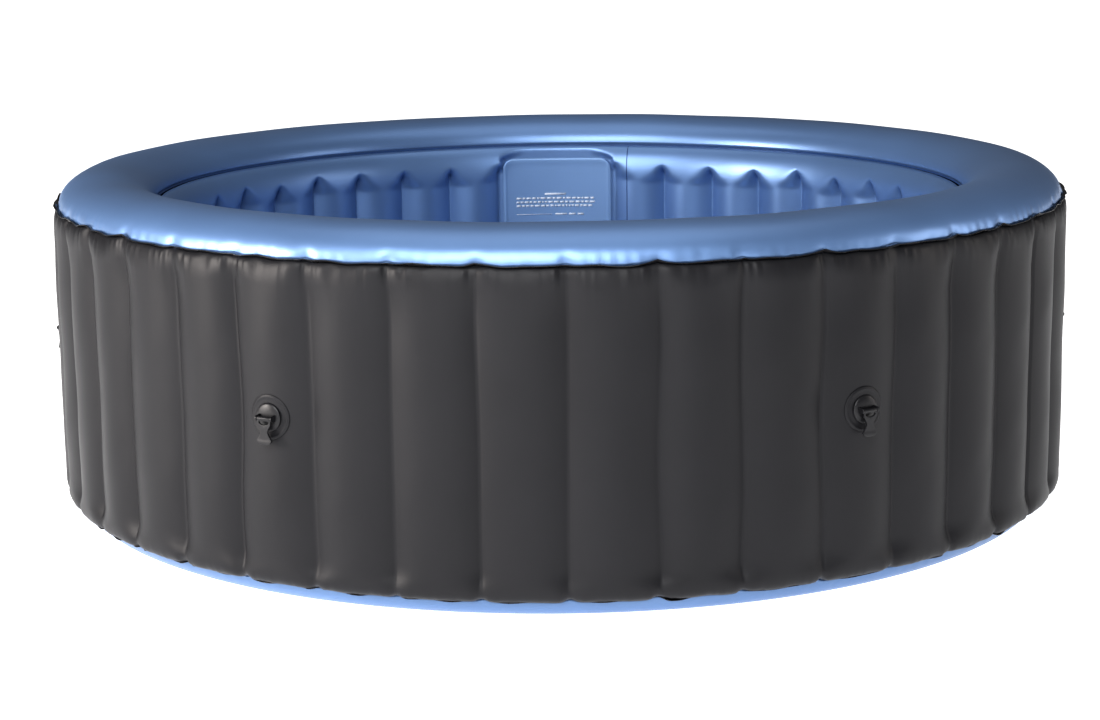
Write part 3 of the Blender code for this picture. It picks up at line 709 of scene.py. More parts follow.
def inner_wall_angles():
    """Columns of the inner wall with the share across its rib; the flat panel has share -1."""
    flat_columns, rib_columns = 46, 26
    flat = np.linspace(-PANEL_HALF_ANGLE, PANEL_HALF_ANGLE, flat_columns, endpoint=False)
    share = np.tile(np.arange(rib_columns) / rib_columns, RIBS)
    share = share - 0.095 * np.sin(TURN * share)
    rib = np.repeat(np.arange(RIBS), rib_columns)
    angle = np.concatenate([flat, PANEL_HALF_ANGLE + (rib + share) * RIB_ANGLE])
    no_rib = -np.ones(flat_columns, int)
    return angle, np.concatenate([no_rib, share]), np.concatenate([no_rib, rib])


def inner_radius(phi, height, share, rib):
    """Radius of the inner wall.

    The ribs' crests rise straight and then bend out to the crease as a quarter ellipse. Between
    them a groove cuts in by depth |2u - 1|^n, and grows narrow and shallow towards its top.
    """
    shell = bpy.context.scene.tub_shell
    crest = shell.inner_radius - shell.rib_depth
    bend_start = 0.528
    bend = np.clip((height - bend_start) / (shell.crease_height - bend_start), 0, 1)
    crest_now = crest + (shell.crease_radius - 0.0012 - crest) * (1 - np.sqrt(1 - bend**2.2))
    tops = shell.rib_top + np.random.default_rng(51).uniform(-0.006, 0.005, RIBS + 1)
    top = np.where(share < 0.5, tops[rib], tops[rib + 1])
    fade = 1 - smooth_step(height, top - 0.022, top)
    wide = 1 - smooth_step(height, top - 0.045, top)
    foot = smooth_step(height, 0.0, 0.06)
    power = 2.0 + 6.5 * (1 - wide)
    groove = np.abs(2 * share - 1) ** power
    ribbed = crest_now + shell.rib_depth * groove * fade * (0.4 + 0.6 * foot)
    flat = np.maximum(0.8022, crest_now)
    soft = 0.012 + 0.070 * smooth_step(height, 0.574, 0.592)
    side = 1 - smooth_step(np.abs(phi), PANEL_HALF_ANGLE - soft, PANEL_HALF_ANGLE)
    flat = flat * side + (1 - side) * (crest_now + shell.rib_depth * fade)
    return np.where(share < 0, flat, ribbed)


def inner_wall_points():
    """The ribbed inner wall, from the floor up to the crease."""
    shell = bpy.context.scene.tub_shell
    phi, share, rib = inner_wall_angles()
    rows = np.concatenate([
        np.linspace(shell.crease_height - 0.001, 0.485, 28),
        [0.440, 0.390, 0.340, 0.280, *hole_rows(PORT_HEIGHT, PORT_HOLE), 0.130],
        hole_rows(LOW_HEIGHT, AIR_HOLE_INSIDE),
        np.linspace(0.05, 0.005, 4),
    ])[:, None]
    radius = inner_radius(phi[None, :], rows, share[None, :], rib[None, :])
    return tub_points(phi[None, :], radius + inner_slack(phi[None, :], rows), rows)


def inner_slack(phi, height):
    """A shallow ripple of the inner wall, which climbs slowly round the tub."""
    return 0.0005 * noise_round(phi + 0.4 * height, 52, 10, 40)


def base_points(columns):
    """The base: a quarter ellipse from the bottom seam to the ground, then level and inwards."""
    shell = bpy.context.scene.tub_shell
    phi = angles_round(columns)
    turn = np.linspace(0, math.pi / 2, 12)[:, None]
    seam_out = shell.bottom_seam_radius - 0.0015 - shell.base_radius
    radius = shell.base_radius + seam_out * np.cos(turn) ** 0.8
    height = (shell.bottom_seam_height - 0.001) * (1 - np.sin(turn))
    down = shell.bottom_seam_height - height
    gather = 0.0006 * noise_round(phi, 61, 150, 260) * np.exp(-((down / 0.01) ** 2))
    lift = foot_rise(phi) * np.exp(-((down / 0.012) ** 2))
    level = np.linspace(shell.base_radius, shell.floor_radius + 0.0015, 7)[1:, None]
    radius = np.concatenate([radius + gather, level + 0 * phi])
    height = np.concatenate([height + lift, 0 * level + 0 * phi])
    return tub_points(phi, radius, np.maximum(height, 0))


def top_ribbon_points(columns):
    """The ribbon along the top seam: it leans out and up, and its width and lean wander."""
    shell = bpy.context.scene.tub_shell
    phi = angles_round(columns)
    across = np.linspace(0, 1, 5)[:, None]
    kink = at_grooves(phi, chamber_draw(71, 0.0, 0.0040), 0.09, 0.06)
    side = np.exp(-((np.abs(np.sin(phi / 2)) - math.sin(math.pi / 4)) / 0.10) ** 2)
    width = 0.0060 + 0.0016 * noise_round(phi, 72, 30, 90) + kink + 0.004 * side
    lean = math.radians(34) + 0.30 * noise_round(phi, 73, 25, 70) + 0.3 * (0.5 - across)
    radius = shell.top_seam_radius + 0.0012 + seam_shift(phi) + across * width * np.cos(lean)
    height = shell.top_seam_height + 0.0002 + seam_rise(phi) + across * width * np.sin(lean)
    return tub_points(phi, radius, height)


def bottom_ribbon_points(columns):
    """The ribbon along the bottom seam: it stands out, and is notched at each groove."""
    shell = bpy.context.scene.tub_shell
    phi = angles_round(columns)
    across = np.linspace(0, 1, 5)[:, None]
    u = chamber_place(phi)[1]
    near = np.minimum(u, 1 - u) * CHAMBER_ANGLE * shell.wall_radius
    width = 0.0165 * (1 - 0.55 * np.exp(-((near / 0.009) ** 2))) + 0.0009 * noise_round(phi, 81, 40, 90)
    rise = 0.20 + 0.14 * noise_round(phi, 82, 30, 80)
    radius = shell.bottom_seam_radius + 0.0010 + across * width * np.cos(rise)
    height = shell.bottom_seam_height - 0.0005 + foot_rise(phi) + across * width * np.sin(rise)
    return tub_points(phi, radius, height)


def ring_patch(profile, columns):
    """A plain ring through (radius, height) rows."""
    phi = angles_round(columns)
    profile = np.array(profile)
    return tub_points(phi, profile[:, :1] + 0 * phi, profile[:, 1:] + 0 * phi)


def arch(points, rows):
    """A smooth curve through a few (radius, height) points, by Catmull-Rom pieces."""
    points = np.array(points, dtype=float)
    ends = np.concatenate([2 * points[:1] - points[1:2], points, 2 * points[-1:] - points[-2:-1]])
    t = np.linspace(0, len(points) - 1 - 1e-9, rows)
    i = t.astype(int)
    f = (t - i)[:, None]
    a, b, c, d = ends[i], ends[i + 1], ends[i + 2], ends[i + 3]
    return 0.5 * (2 * b + (c - a) * f + (2 * a - 5 * b + 4 * c - d) * f**2 + (3 * b - a - 3 * c + d) * f**3)


# ---------------------------------------------------------------- operators

PORTS = ((PORT_ANGLE, PORT_HEIGHT, PORT_HOLE), (-PORT_ANGLE, PORT_HEIGHT, PORT_HOLE))
FITTINGS_OUTSIDE = (
    *PORTS,
    (AIR_ANGLE, LOW_HEIGHT, AIR_HOLE),
    (DRAIN_ANGLE, LOW_HEIGHT, DRAIN_HOLE),
    (VALVE_ANGLE, VALVE_HEIGHT, VALVE_HOLE),
)
FITTINGS_INSIDE = (*PORTS, (AIR_ANGLE, LOW_HEIGHT, AIR_HOLE_INSIDE))


class TUB_OT_outer_wall(bpy.types.Operator):
    """Makes the black outer wall with its 42 upright chambers"""

    bl_idname = "tub.outer_wall"
    bl_label = "Outer Wall"

    def execute(self, context):
        sheet = context.scene.tub_shell.sheet
        piece = surface(
            "outer_wall_sheet", wall_points(29), finishes()["black"], flip=True,
            keep=away_from(FITTINGS_OUTSIDE), sheet=sheet,
        )
        on_body(piece, "root", "black_grained_pvc", "outer_wall")
        return {"FINISHED"}


class TUB_OT_rim(bpy.types.Operator):
    """Makes the blue rim from the crease over to the top seam"""

    bl_idname = "tub.rim"
    bl_label = "Rim"

    def execute(self, context):
        sheet = context.scene.tub_shell.sheet
        piece = surface("rim_sheet", rim_points(1008, 30), finishes()["blue"], flip=True, sheet=sheet)
        on_body(piece, "root", "blue_pearl_pvc", "rim")
        return {"FINISHED"}


class TUB_OT_inner_wall(bpy.types.Operator):
    """Makes the ribbed inner wall with its flat stretch at the rear, and its lap seam"""

    bl_idname = "tub.inner_wall"
    bl_label = "Inner Wall"

    def execute(self, context):
        sheet = context.scene.tub_shell.sheet
        piece = surface(
            "inner_wall_sheet", inner_wall_points(), finishes()["blue"],
            keep=away_from(FITTINGS_INSIDE), sheet=sheet,
        )
        on_body(piece, "root", "blue_pearl_pvc", "inner_wall", "rear_sheet")
        angle = LAP_ANGLE + np.linspace(-1, 1, 3)[None, :] * 0.0012
        share = (angle - PANEL_HALF_ANGLE) / RIB_ANGLE
        rows = np.linspace(context.scene.tub_shell.crease_height - 0.003, 0.10, 90)[:, None]
        radius = inner_radius(angle, rows, share, np.zeros(3, int)[None, :]) - 0.0004
        points = tub_points(angle, radius + inner_slack(angle, rows), rows)
        lap = surface("lap_seam", points, finishes()["tape"], closed=False, sheet=0.0006)
        on_body(lap, "root", "blue_pearl_pvc")
        return {"FINISHED"}


class TUB_OT_base_and_floor(bpy.types.Operator):
    """Makes the base band and the floor sheet"""

    bl_idname = "tub.base_and_floor"
    bl_label = "Base and Floor"

    def execute(self, context):
        shell = context.scene.tub_shell
        # The base band's darker blue is painted shade near the ground
        base = surface("base_sheet", base_points(1008), finishes()["base"], flip=True, sheet=shell.sheet)
        on_body(base, "root", "blue_pearl_pvc", "base_ring")
        phi = angles_round(252)
        radius = np.linspace(0, shell.floor_radius - 0.0005, 40)[:, None]
        x, y = radius * np.sin(phi), radius * np.cos(phi)
        swell = 0.0007 * np.sin(9 * x + 1.8 * np.sin(5 * y)) * np.sin(8 * y + 1.5 * np.sin(6 * x + 1.0))
        height = 0.0042 + swell - 0.0030 * smooth_step(radius, 0.70, 0.795)
        floor = surface("floor_top", tub_points(phi, radius, height), finishes()["blue"], sheet=0.0007)
        edit(floor.data, close_pole)
        on_body(floor, "root", "blue_pearl_pvc", "floor_sheet")
        return {"FINISHED"}


class TUB_OT_ribbons(bpy.types.Operator):
    """Makes the welded edges: the wavy ribbon on top, the notched one below and the crease tape, whose dark
    blue is partly painted shade of the crease
    """

    bl_idname = "tub.ribbons"
    bl_label = "Welded Ribbons"

    def execute(self, context):
        shell = context.scene.tub_shell
        black = finishes()["ribbon"]
        top = surface("top_ribbon", top_ribbon_points(1512), black, sheet=0.0012)
        on_body(top, "root", "black_weld_ribbon", "top_weld_flange")
        low = surface("bottom_ribbon", bottom_ribbon_points(1512), black, sheet=0.0014)
        on_body(low, "root", "black_weld_ribbon", "bottom_weld_flange")
        r, z = shell.crease_radius, shell.crease_height
        profile = arch(((r - 0.0026, z - 0.0016), (r - 0.0018, z + 0.0002), (r - 0.0008, z + 0.0018)), 5)
        # Dark tape along the crease: partly weld tape, partly painted shade of the crease line
        tape = surface("crease_weld", ring_patch(profile, 504), finishes()["tape"], flip=True, sheet=0.0008)
        on_body(tape, "root", "blue_weld_tape", "crease_tape")
        return {"FINISHED"}


class TUB_OT_bubble_channel(bpy.types.Operator):
    """Makes the air channel round the foot of the inner wall"""

    bl_idname = "tub.bubble_channel"
    bl_label = "Bubble Channel"

    def execute(self, context):
        curve = ((0.735, 0.0045), (0.739, 0.036), (0.756, 0.074), (0.7825, 0.092), (0.8035, 0.0950))
        channel = surface(
            "bubble_channel_sheet", ring_patch(arch(curve, 18), 504), finishes()["blue"],
            keep=away_from(((DRAIN_ANGLE, LOW_HEIGHT, CHANNEL_HOLE),)), sheet=0.0009,
        )
        on_body(channel, "root", "blue_pearl_pvc", "bubble_channel")
        return {"FINISHED"}


class TUB_OT_panel(bpy.types.Operator):
    """Makes the flat panel on the inner wall, its raised border and its plain printed marks"""

    bl_idname = "tub.panel"
    bl_label = "Panel"

    def execute(self, context):
        points = panel_points()
        panel = surface(
            "panel_sheet", points, finishes()["panel"], closed=False, keep=away_from(PORTS), sheet=0.0008,
        )
        on_body(panel, "root", "blue_panel_pvc", "equipment_panel")
        flat = print_points()
        quads = np.arange(len(flat)).reshape(-1, 4)[:, ::-1]
        ink = add_mesh("panel_print", flat, quads.tolist(), finishes()["ink"])
        thicken(ink, 0.0002)
        on_body(ink, "root", "blue_panel_pvc")
        return {"FINISHED"}


PANEL_RADIUS = 0.7990


def panel_points():
    """The panel with round upper corners; its border is raised as a bell curve of the distance inwards."""
    half, top, foot, corner = 0.160 * PANEL_RADIUS, 0.577, 0.110, 0.026
    x = half * np.sin(np.linspace(-1, 1, 61) * math.pi / 2)[None, :]
    past = np.maximum(np.abs(x) - (half - corner), 0)
    high = top - corner + np.sqrt(np.maximum(corner**2 - past**2, 0))
    holes = (top - np.array(hole_rows(PORT_HEIGHT, PORT_HOLE))) / (top - foot)
    share = np.concatenate([[0, 0.01, 0.025], np.linspace(0.05, 0.70, 10), holes, [0.93, 0.975, 0.99, 1]])
    z = high + (foot - high) * share[:, None]
    edge = np.minimum(half - np.abs(x), np.minimum(high - z, z - foot))
    lip = 0.0010 * np.exp(-(((edge - 0.006) / 0.0025) ** 2))
    return tub_points(x / PANEL_RADIUS, PANEL_RADIUS - lip, z)


def print_points():
    """Corners of the printed marks: a headline, three lines of dashes and a plain fill line."""
    draw = np.random.default_rng(101)
    bars = [(0.0, 0.491, 0.050, 0.0048)]
    for height in (0.481, 0.472, 0.463):
        left = -0.0925
        while left < 0.088:
            width = draw.uniform(0.004, 0.013)
            bars.append((left + width / 2, height, width, 0.0046))
            left += width + 0.0022
    bars.append((-0.050, 0.443, 0.085, 0.0014))
    bars += [(0.014, 0.443, 0.028, 0.0042), (0.040, 0.443, 0.016, 0.0042), (0.060, 0.443, 0.014, 0.0042)]
    middle_x, middle_z, width, height = np.array(bars).T[:, :, None]
    px = middle_x - 0.004 + np.array([-0.5, 0.5, 0.5, -0.5]) * width
    pz = middle_z + np.array([-0.5, -0.5, 0.5, 0.5]) * height
    return tub_points(px / PANEL_RADIUS, PANEL_RADIUS - 0.0004, pz).reshape(-1, 3)


def patch_points(angle):
    """A round patch that lies on the wall, with an embossed ring near its edge."""
    shell = bpy.context.scene.tub_shell
    turn = angles_round(72)
    reach = [0, 0.012, 0.022, 0.030, 0.0325, 0.0340, 0.0350, 0.0360, 0.0375, 0.0385, 0.0390]
    reach = np.array(reach)[:, None]
    x, y = reach * np.cos(turn), reach * np.sin(turn)
    ring = 0.0007 * np.exp(-(((reach - 0.0350) / 0.0013) ** 2))
    fall = shell.groove_depth * np.abs(2 * x / (CHAMBER_ANGLE * shell.wall_radius)) ** 2.05
    fall = fall + x**2 / (2 * shell.wall_radius) + 0.0006 * smooth_step(reach, 0.0380, 0.0390)
    z = 0.0010 - fall + ring
    return seat_points(np.stack([x, y + 0 * z, z], axis=-1), angle, SEAT_RADIUS + 0.0006, ANCHOR_HEIGHT)


def strap(outline, half):
    """A flat moulding from an outline in (y, z), as rows of a closed loop at -half and +half in x."""
    outline = np.array(outline)
    x = np.array([-half, half])[:, None] + 0 * outline[None, :, 0]
    return np.stack([x, outline[None, :, 0] + 0 * x, outline[None, :, 1] + 0 * x], axis=-1)


def loft(name, points, finish, place):
    """A closed solid through loops of points, capped at both ends."""
    rows, columns = points.shape[:2]
    faces = grid_faces(rows, columns, True).tolist()
    faces += [list(range(columns)), list(range((rows - 1) * columns, rows * columns))[::-1]]
    piece = add_mesh(name, seat_points(points, *place), faces, finish)
    finish_solid(piece.data, 30.0)
    return piece


def anchor_base(number, angle, finish):
    """The domed boss and the two ears that hold the pins."""
    place = (angle, BASE_SEAT, ANCHOR_HEIGHT)
    turn = np.linspace(0, math.pi / 2, 9)
    dome = [(0.0250 * math.sin(t), 0.0018 + 0.0052 * math.cos(t)) for t in turn]
    dome += [(0.0250, 0.0010), (0.0246, 0.0), (0.0, 0.0)]
    boss = turned("boss", dome, 64, finish, place)
    ears = []
    for side in (-1, 1):
        arc = [(0.0045 * math.cos(a), 0.015 + 0.0045 * math.sin(a)) for a in np.linspace(0, math.pi, 17)]
        points = strap([(0.0062, 0.0010), *arc, (-0.0062, 0.0010)], 0.00175)
        points[..., 0] += side * 0.01545
        ears.append(loft("ear", points, finish, place))
    base = merged(f"anchor_boss_{number}", [boss, *ears])
    bevel(base, 0.0006, 3, 40)
    return base


def tab_half():
    """Rows of (inner x, inner y) and (outer x, outer y) down one half of the tab."""
    eye = [(0.0, -0.0042), (0.0060, -0.0042), (0.0100, -0.0046), (0.0105, -0.0056)]
    eye += [(0.0105 * math.cos(a), -0.0060 - 0.0055 * math.sin(a)) for a in np.linspace(0.15, math.pi / 2, 8)]
    rim = [(0.0, -0.0005), (0.0070, -0.0005), (0.0125, -0.0005), (0.0136, -0.0030)]
    rim += [(0.0140, -0.0060), (0.0138, -0.0085), (0.0132, -0.0108), (0.0124, -0.0126)]
    rim += [(0.0114, -0.0142), (0.0104, -0.0158), (0.0095, -0.0174), (0.0087, -0.0190)]
    low = np.linspace(0.021, 0.0375, 9)
    waist = 0.0072 + (0.0150 - 0.0072) * np.clip((low - 0.0235) / 0.014, 0, 1) ** 1.6
    waist[0] = 0.0077
    inner = eye + [(0.0, -y + 0.004 * (1 - i / 8)) for i, y in enumerate(low)]
    outer = rim + list(zip(waist, -low))
    for a in np.linspace(0, math.pi / 2, 9)[1:]:
        inner.append((0.0, -0.0375 - 0.0085 * math.sin(a) * 0.9999))
        outer.append((0.0150 * math.cos(a) ** 0.75, -0.0375 - 0.0085 * math.sin(a)))
    return np.array(inner), np.array(outer)


def anchor_tab(number, angle, finish):
    """The flat tab with its eye, on a round bar."""
    place = (angle, PIVOT_RADIUS, ANCHOR_HEIGHT)
    inner, outer = tab_half()
    s = np.linspace(0, 1, 5)[None, :, None]
    flat = inner[:, None] * (1 - s) + outer[:, None] * s
    halves = []
    for side in (1, -1):
        down = -flat[..., 1]
        lip = 0.0006 * smooth_step(down, 0.036, 0.041) * (1 - smooth_step(down, 0.0445, 0.046))
        points = np.stack([side * flat[..., 0], flat[..., 1], 0.0017 + lip], axis=-1)
        halves.append(surface("half", seat_points(points, *place), finish, closed=False))
    tab = merged("tab", halves)
    face_out(tab.data, place)
    thicken(tab, 0.0034)
    bevel(tab, 0.0007, 2, 50)
    tab.data.set_sharp_from_angle(angle=math.radians(40))
    arc = np.linspace(0, math.pi / 2, 5)
    end = [(0.0038 - 0.0008 * (1 - math.cos(a)), 0.0125 + 0.0008 * math.sin(a)) for a in arc]
    profile = [(0, 0.0163), (0.0014, 0.0163), (0.0016, 0.0160), (0.0016, 0.0133)] + end[::-1]
    profile += [(r, -h) for r, h in reversed(profile)]
    ring = turned_points(profile, 32)[..., [2, 0, 1]]
    bar = add_mesh("bar", seat_points(ring, *place), grid_faces(len(profile), 32, True).tolist(), finish)
    finish_solid(bar.data)
    return apply_and_merge(f"anchor_tab_fine_{number}", tab, bar)


def face_out(mesh, place):
    """Merges the halves along the middle and makes every face look away from the tub."""
    out = np.array([math.sin(place[0]), math.cos(place[0]), 0.0])

    def change(work):
        bmesh.ops.remove_doubles(work, verts=work.verts, dist=2e-6)
        bmesh.ops.dissolve_degenerate(work, edges=work.edges, dist=1e-6)
        work.normal_update()
        bmesh.ops.reverse_faces(work, faces=[f for f in work.faces if np.dot(f.normal, out) < 0])

    edit(mesh, change)


def apply_and_merge(name, shaped, other):
    """Applies the modifiers of one piece and joins another piece to it."""
    graph = bpy.context.evaluated_depsgraph_get()
    plain = add_piece(name, bpy.data.meshes.new_from_object(shaped.evaluated_get(graph)))
    bpy.data.objects.remove(shaped)
    return merged(name, [plain, other])


class TUB_OT_anchors(bpy.types.Operator):
    """Makes the six cover anchors: patch, domed boss with ears, and hanging tab"""

    bl_idname = "tub.anchors"
    bl_label = "Cover Anchors"

    def execute(self, context):
        for number in range(1, ANCHOR_COUNT + 1):
            angle = TURN * (number - 0.5) / ANCHOR_COUNT
            black = finishes()["black"]
            patch = surface(f"anchor_disc_{number}", patch_points(angle), black, flip=True, sheet=0.0010)
            edit(patch.data, close_pole)
            on_body(patch, "root", "black_grained_pvc", f"anchor_patch_{number}")
            base = anchor_base(number, angle, finishes()["moulded"])
            on_body(base, "root", "moulded_black", f"anchor_base_{number}")
            tab = anchor_tab(number, angle, finishes()["moulded"])
            on_body(tab, f"tab_{number}", "moulded_black", f"anchor_tab_{number}")
        return {"FINISHED"}


def sleeve_profile(bore, radius, flange, flange_sheet, outer_end, inner_end, ridges):
    """A tube with a flange; round ridges near its outer end hold a hose or take a nut's thread."""
    start, end = inner_end - SEAT_RADIUS, outer_end - SEAT_RADIUS
    pitch = 0.0036
    along = np.linspace(end - ridges * pitch - 0.002, end - 0.002, ridges * 8 + 1)
    wave = 0.0008 * (0.5 - 0.5 * np.cos((along - along[0]) / pitch * TURN))
    outside = [(radius - 0.0008 + w, h) for h, w in zip(along, wave)]
    return [
        (bore, start), (radius - 0.0006, start), (radius - 0.0002, start + 0.0006), (radius - 0.0002, 0.0004),
        (flange - 0.0005, 0.0004), (flange, 0.0009),
        (flange, flange_sheet - 0.0006), (flange - 0.0008, flange_sheet),
        (radius + 0.0022, flange_sheet), (radius + 0.0006, flange_sheet + 0.0005),
        (radius - 0.0008, flange_sheet + 0.0022),
        *outside, (radius - 0.0012, end), (bore + 0.0006, end), (bore, end - 0.0006),
    ]


class TUB_OT_ports(bpy.types.Operator):
    """Makes the flanged sleeves and nuts of the two hose ports, and the air port's sleeve"""

    bl_idname = "tub.ports"
    bl_label = "Hose Ports"

    def execute(self, context):
        black = finishes()["moulded"]
        for side, angle in (("suction", PORT_ANGLE), ("return", -PORT_ANGLE)):
            place = (angle, SEAT_RADIUS, PORT_HEIGHT)
            profile = sleeve_profile(0.016, 0.019, 0.034, 0.003, 1.063, 0.788, 5)
            sleeve = turned(f"{side}_sleeve", profile, 72, black, place)
            on_body(sleeve, "root", "moulded_black", f"{side}_port_sleeve")
            nut_profile = rounded(((0.0194, 0.0), (0.0194, 0.0080), (0.0300, 0.0080), (0.0300, 0.0)), 0.0012)
            nut = turned(
                f"{side}_nut", nut_profile, 120, black, (angle, 0.7885, PORT_HEIGHT),
                (0.0016, 12, -1, 1, 0.025),
            )
            on_body(nut, "root", "moulded_black", f"{side}_port_nut")
        air = turned(
            "air_sleeve", sleeve_profile(0.007, 0.010, 0.024, 0.0025, 1.055, 0.7975, 4), 56, black,
            (AIR_ANGLE, SEAT_RADIUS + 0.0012, LOW_HEIGHT),
        )
        on_body(air, "root", "moulded_black", "air_port_sleeve")
        return {"FINISHED"}


def cap_profile(bore, radius, mouth, ceiling, top):
    """A screw cap: skirt, rounded shoulder and a shallow dished top."""
    dish = [(radius * s, top - 0.0008 * (1 - s * s / 0.72)) for s in (0.85, 0.6, 0.3)]
    return [
        (bore, mouth + 0.0004), (bore + 0.0006, mouth), (radius - 0.0006, mouth), (radius, mouth + 0.0006),
        (radius, mouth + 0.004), (radius, top - 0.0030),
        (radius - 0.0005, top - 0.0012), (radius - 0.0016, top - 0.0002),
        *dish, (0, top - 0.0009), (0, ceiling), (bore, ceiling),
    ]


def coil_points(turns, radius, wire, low, high):
    """A wire coiled about z: its middle is (radius cos t, radius sin t, low + (high - low) t / end)."""
    t = np.linspace(0, TURN * turns, 24 * turns + 1)[:, None]
    a = angles_round(10)
    reach = radius + wire * np.cos(a)
    height = low + (high - low) * t / (TURN * turns) + wire * np.sin(a)
    return np.stack([reach * np.cos(t), reach * np.sin(t), height], axis=-1)


class TUB_OT_valve_and_drain(bpy.types.Operator):
    """Makes the inflation valve with its cap, and the drain with its cap"""

    bl_idname = "tub.valve_and_drain"
    bl_label = "Valve and Drain"

    def execute(self, context):
        black, grey = finishes()["moulded"], finishes()["grey"]
        place = (DRAIN_ANGLE, SEAT_RADIUS, LOW_HEIGHT)
        profile = sleeve_profile(0.010, 0.013, 0.026, 0.0025, 1.046, 0.730, 4)
        sleeve = turned("drain_tube", profile, 56, black, place)
        on_body(sleeve, "root", "moulded_black", "drain_sleeve")
        cap = turned(
            "drain_screw_cap", cap_profile(0.0134, 0.0185, 0.006, 0.0285, 0.0320), 120, black, place,
            (0.0009, 24, 0.0099, 0.0295, 0.0170),
        )
        on_body(cap, "drain_cap", "moulded_black", "drain_cap")
        place = (VALVE_ANGLE, SEAT_RADIUS, VALVE_HEIGHT)
        body = rounded((
            (0.0030, -0.030), (0.0150, -0.030), (0.0150, 0.0004), (0.0300, 0.0004), (0.0300, 0.0020),
            (0.0160, 0.0020), (0.0160, 0.0160), (0.0120, 0.0160), (0.0120, -0.027), (0.0030, -0.027),
        ), 0.0006, 3)
        housing = turned("valve_housing", body, 64, black, place)
        on_body(housing, "root", "moulded_black", "valve_body")
        cap = turned(
            "valve_screw_cap", cap_profile(0.0165, 0.0200, 0.0035, 0.0185, 0.0220), 128, grey, place,
            (0.0008, 32, 0.0074, 0.0195, 0.0185),
        )
        on_body(cap, "valve_cap", "grey_plastic", "valve_cap")
        low, high, press = -0.0262, 0.0052, 0.004
        coil = seat_points(coil_points(4, 0.0048, 0.0006, low, high), *place)
        spring = surface("valve_spring_coil", coil, finishes()["steel"])
        on_body(spring, "root", "spring_wire", "valve_spring")
        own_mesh(spring)
        return {"FINISHED"}


class TUB_OT_inside_finishes(bpy.types.Operator):
    """Gives the webs inside the ring, the port screens and the valve stem their materials"""

    bl_idname = "tub.inside_finishes"
    bl_label = "Inside Parts"

    def execute(self, context):
        kept = {
            "rim_web": "web", "tension_webs": "web",
            "suction_port_screen": "grey", "return_port_screen": "grey", "valve_stem": "grey",
        }
        for node, finish in kept.items():
            for slot in frame["nodes"][node].material_slots:
                slot.material = finishes()[finish]
        return {"FINISHED"}


def add_softbox(name, place, target, width, height, power, colour):
    """A rectangular light at a place, turned towards a target."""
    light = bpy.data.lights.new(name, "AREA")
    light.shape, light.size, light.size_y = "RECTANGLE", width, height
    light.energy, light.color = power, linear(colour)
    lamp = add_piece(name, light)
    lamp.location = place
    x, y, z = np.subtract(target, place)
    lamp.rotation_euler = (math.atan2(math.hypot(x, y), -z), 0, math.atan2(-x, y))


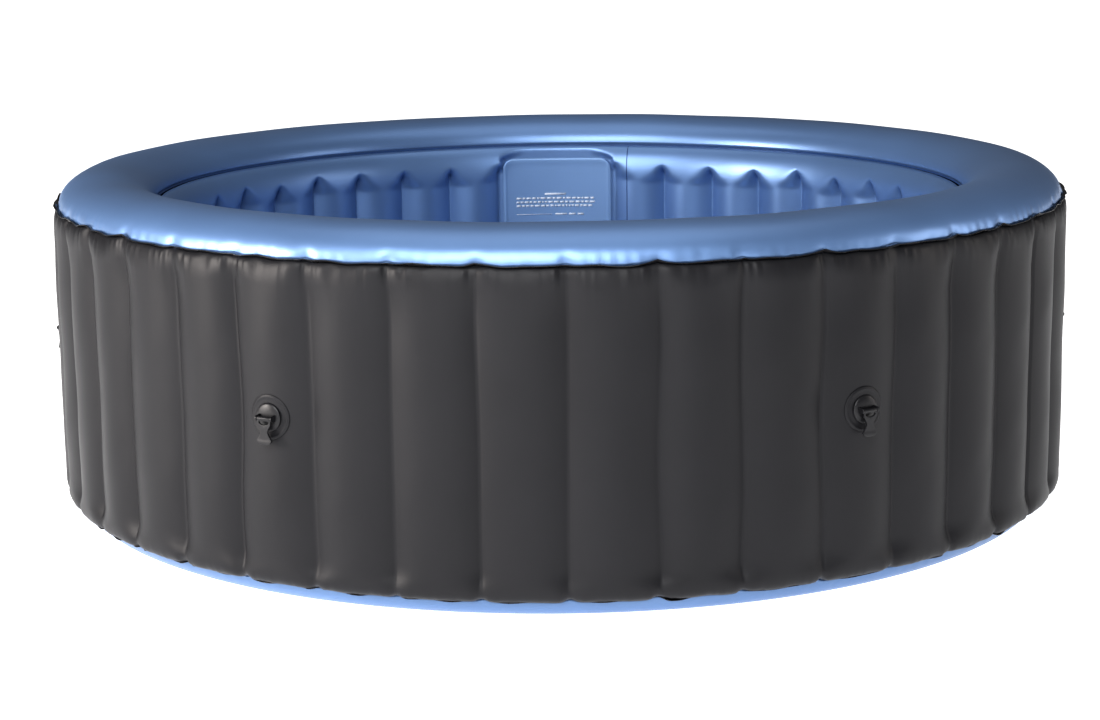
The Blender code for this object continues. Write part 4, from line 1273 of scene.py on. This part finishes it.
class TUB_OT_stage(bpy.types.Operator):
    """Makes the studio: a pale floor, softboxes, an even room and the camera"""

    bl_idname = "tub.stage"
    bl_label = "Stage"

    def execute(self, context):
        stage = context.scene.tub_stage
        context.scene.view_settings.view_transform = "Standard"
        context.scene.view_settings.look = "High Contrast"
        finish = start_material("matt_studio_floor", {
            "Base Color": (*stage.floor, 1), "Roughness": 0.9, "Specular IOR Level": 0.1,
            "Emission Color": (1, 1, 1, 1), "Emission Strength": stage.floor_glow,
        })[0]
        x = np.linspace(-30, 30, 3)
        px, py = np.meshgrid(x, x)
        points = np.stack([px, py, 0 * px - 0.0005], axis=-1)
        floor = surface("studio_floor", points, finish, closed=False, flip=True)
        world = bpy.data.worlds.new("studio_room")
        world.use_nodes = True
        back = world.node_tree.nodes["Background"]
        back.inputs["Color"].default_value = (*linear("#ffffff"), 1)
        back.inputs["Strength"].default_value = stage.world
        context.scene.world = world
        add_softbox("front_softbox", (-1.4, -5.7, 3.7), (0, 0, 0.4), 5.2, 4.0, stage.front_power, "#ffffff")
        add_softbox("top_softbox", (0.0, 0.6, 5.2), (0, 0.2, 0.4), 4.2, 4.2, stage.top_power, "#ffffff")
        add_softbox("left_softbox", (-6.2, -2.6, 1.8), (0, 0, 0.4), 1.8, 2.4, stage.left_power, "#fff8f2")
        add_softbox("right_softbox", (5.8, -0.8, 1.6), (0, 0, 0.4), 1.6, 2.4, stage.right_power, "#fff8f2")
        data = bpy.data.cameras.new("camera")
        data.lens, data.sensor_width, data.shift_x = stage.lens, 36.0, -0.01084
        camera = add_piece("camera", data)
        turn, pitch, roll = math.radians(0.514), 0.1993, 0.0119
        aim = Matrix.Rotation(-turn, 3, "Z") @ Matrix.Rotation(math.pi / 2 - pitch, 3, "X")
        aim = aim @ Matrix.Rotation(-roll, 3, "Z")
        camera.matrix_world = Matrix.Translation((-0.0443, -4.939, 1.2466)) @ aim.to_4x4()
        context.scene.camera = camera
        return {"FINISHED"}


class TUB_PT_build(bpy.types.Panel):
    bl_label = "Hot Tub"
    bl_idname = "TUB_PT_build"
    bl_space_type = "VIEW_3D"
    bl_region_type = "UI"
    bl_category = "Hot Tub"

    def draw(self, context):
        for settings in (context.scene.tub_shell, context.scene.tub_finish, context.scene.tub_stage):
            box = self.layout.box()
            for key in settings.__annotations__:
                box.prop(settings, key)
        for step in STEPS:
            self.layout.operator(step.bl_idname)


SETTINGS = {"tub_shell": TubShellSettings, "tub_finish": TubFinishSettings, "tub_stage": TubStageSettings}
STEPS = (
    TUB_OT_stage, TUB_OT_outer_wall, TUB_OT_rim, TUB_OT_inner_wall, TUB_OT_base_and_floor, TUB_OT_ribbons,
    TUB_OT_bubble_channel, TUB_OT_panel, TUB_OT_anchors, TUB_OT_ports, TUB_OT_valve_and_drain,
    TUB_OT_inside_finishes,
)


def register():
    for group in (*SETTINGS.values(), *STEPS, TUB_PT_build):
        bpy.utils.register_class(group)
    for key, group in SETTINGS.items():
        setattr(bpy.types.Scene, key, bpy.props.PointerProperty(type=group))


def unregister():
    for key in SETTINGS:
        delattr(bpy.types.Scene, key)
    for group in (TUB_PT_build, *reversed(STEPS), *reversed(SETTINGS.values())):
        bpy.utils.unregister_class(group)


def main():
    register()
    for item in [o for o in bpy.data.objects if o.name in ("Cube", "Light", "Camera")]:
        bpy.data.objects.remove(item)
    for step in STEPS:
        getattr(bpy.ops.tub, step.bl_idname.split(".")[1])()
    bpy.context.view_layer.update()


if __name__ == "__main__":
    main()
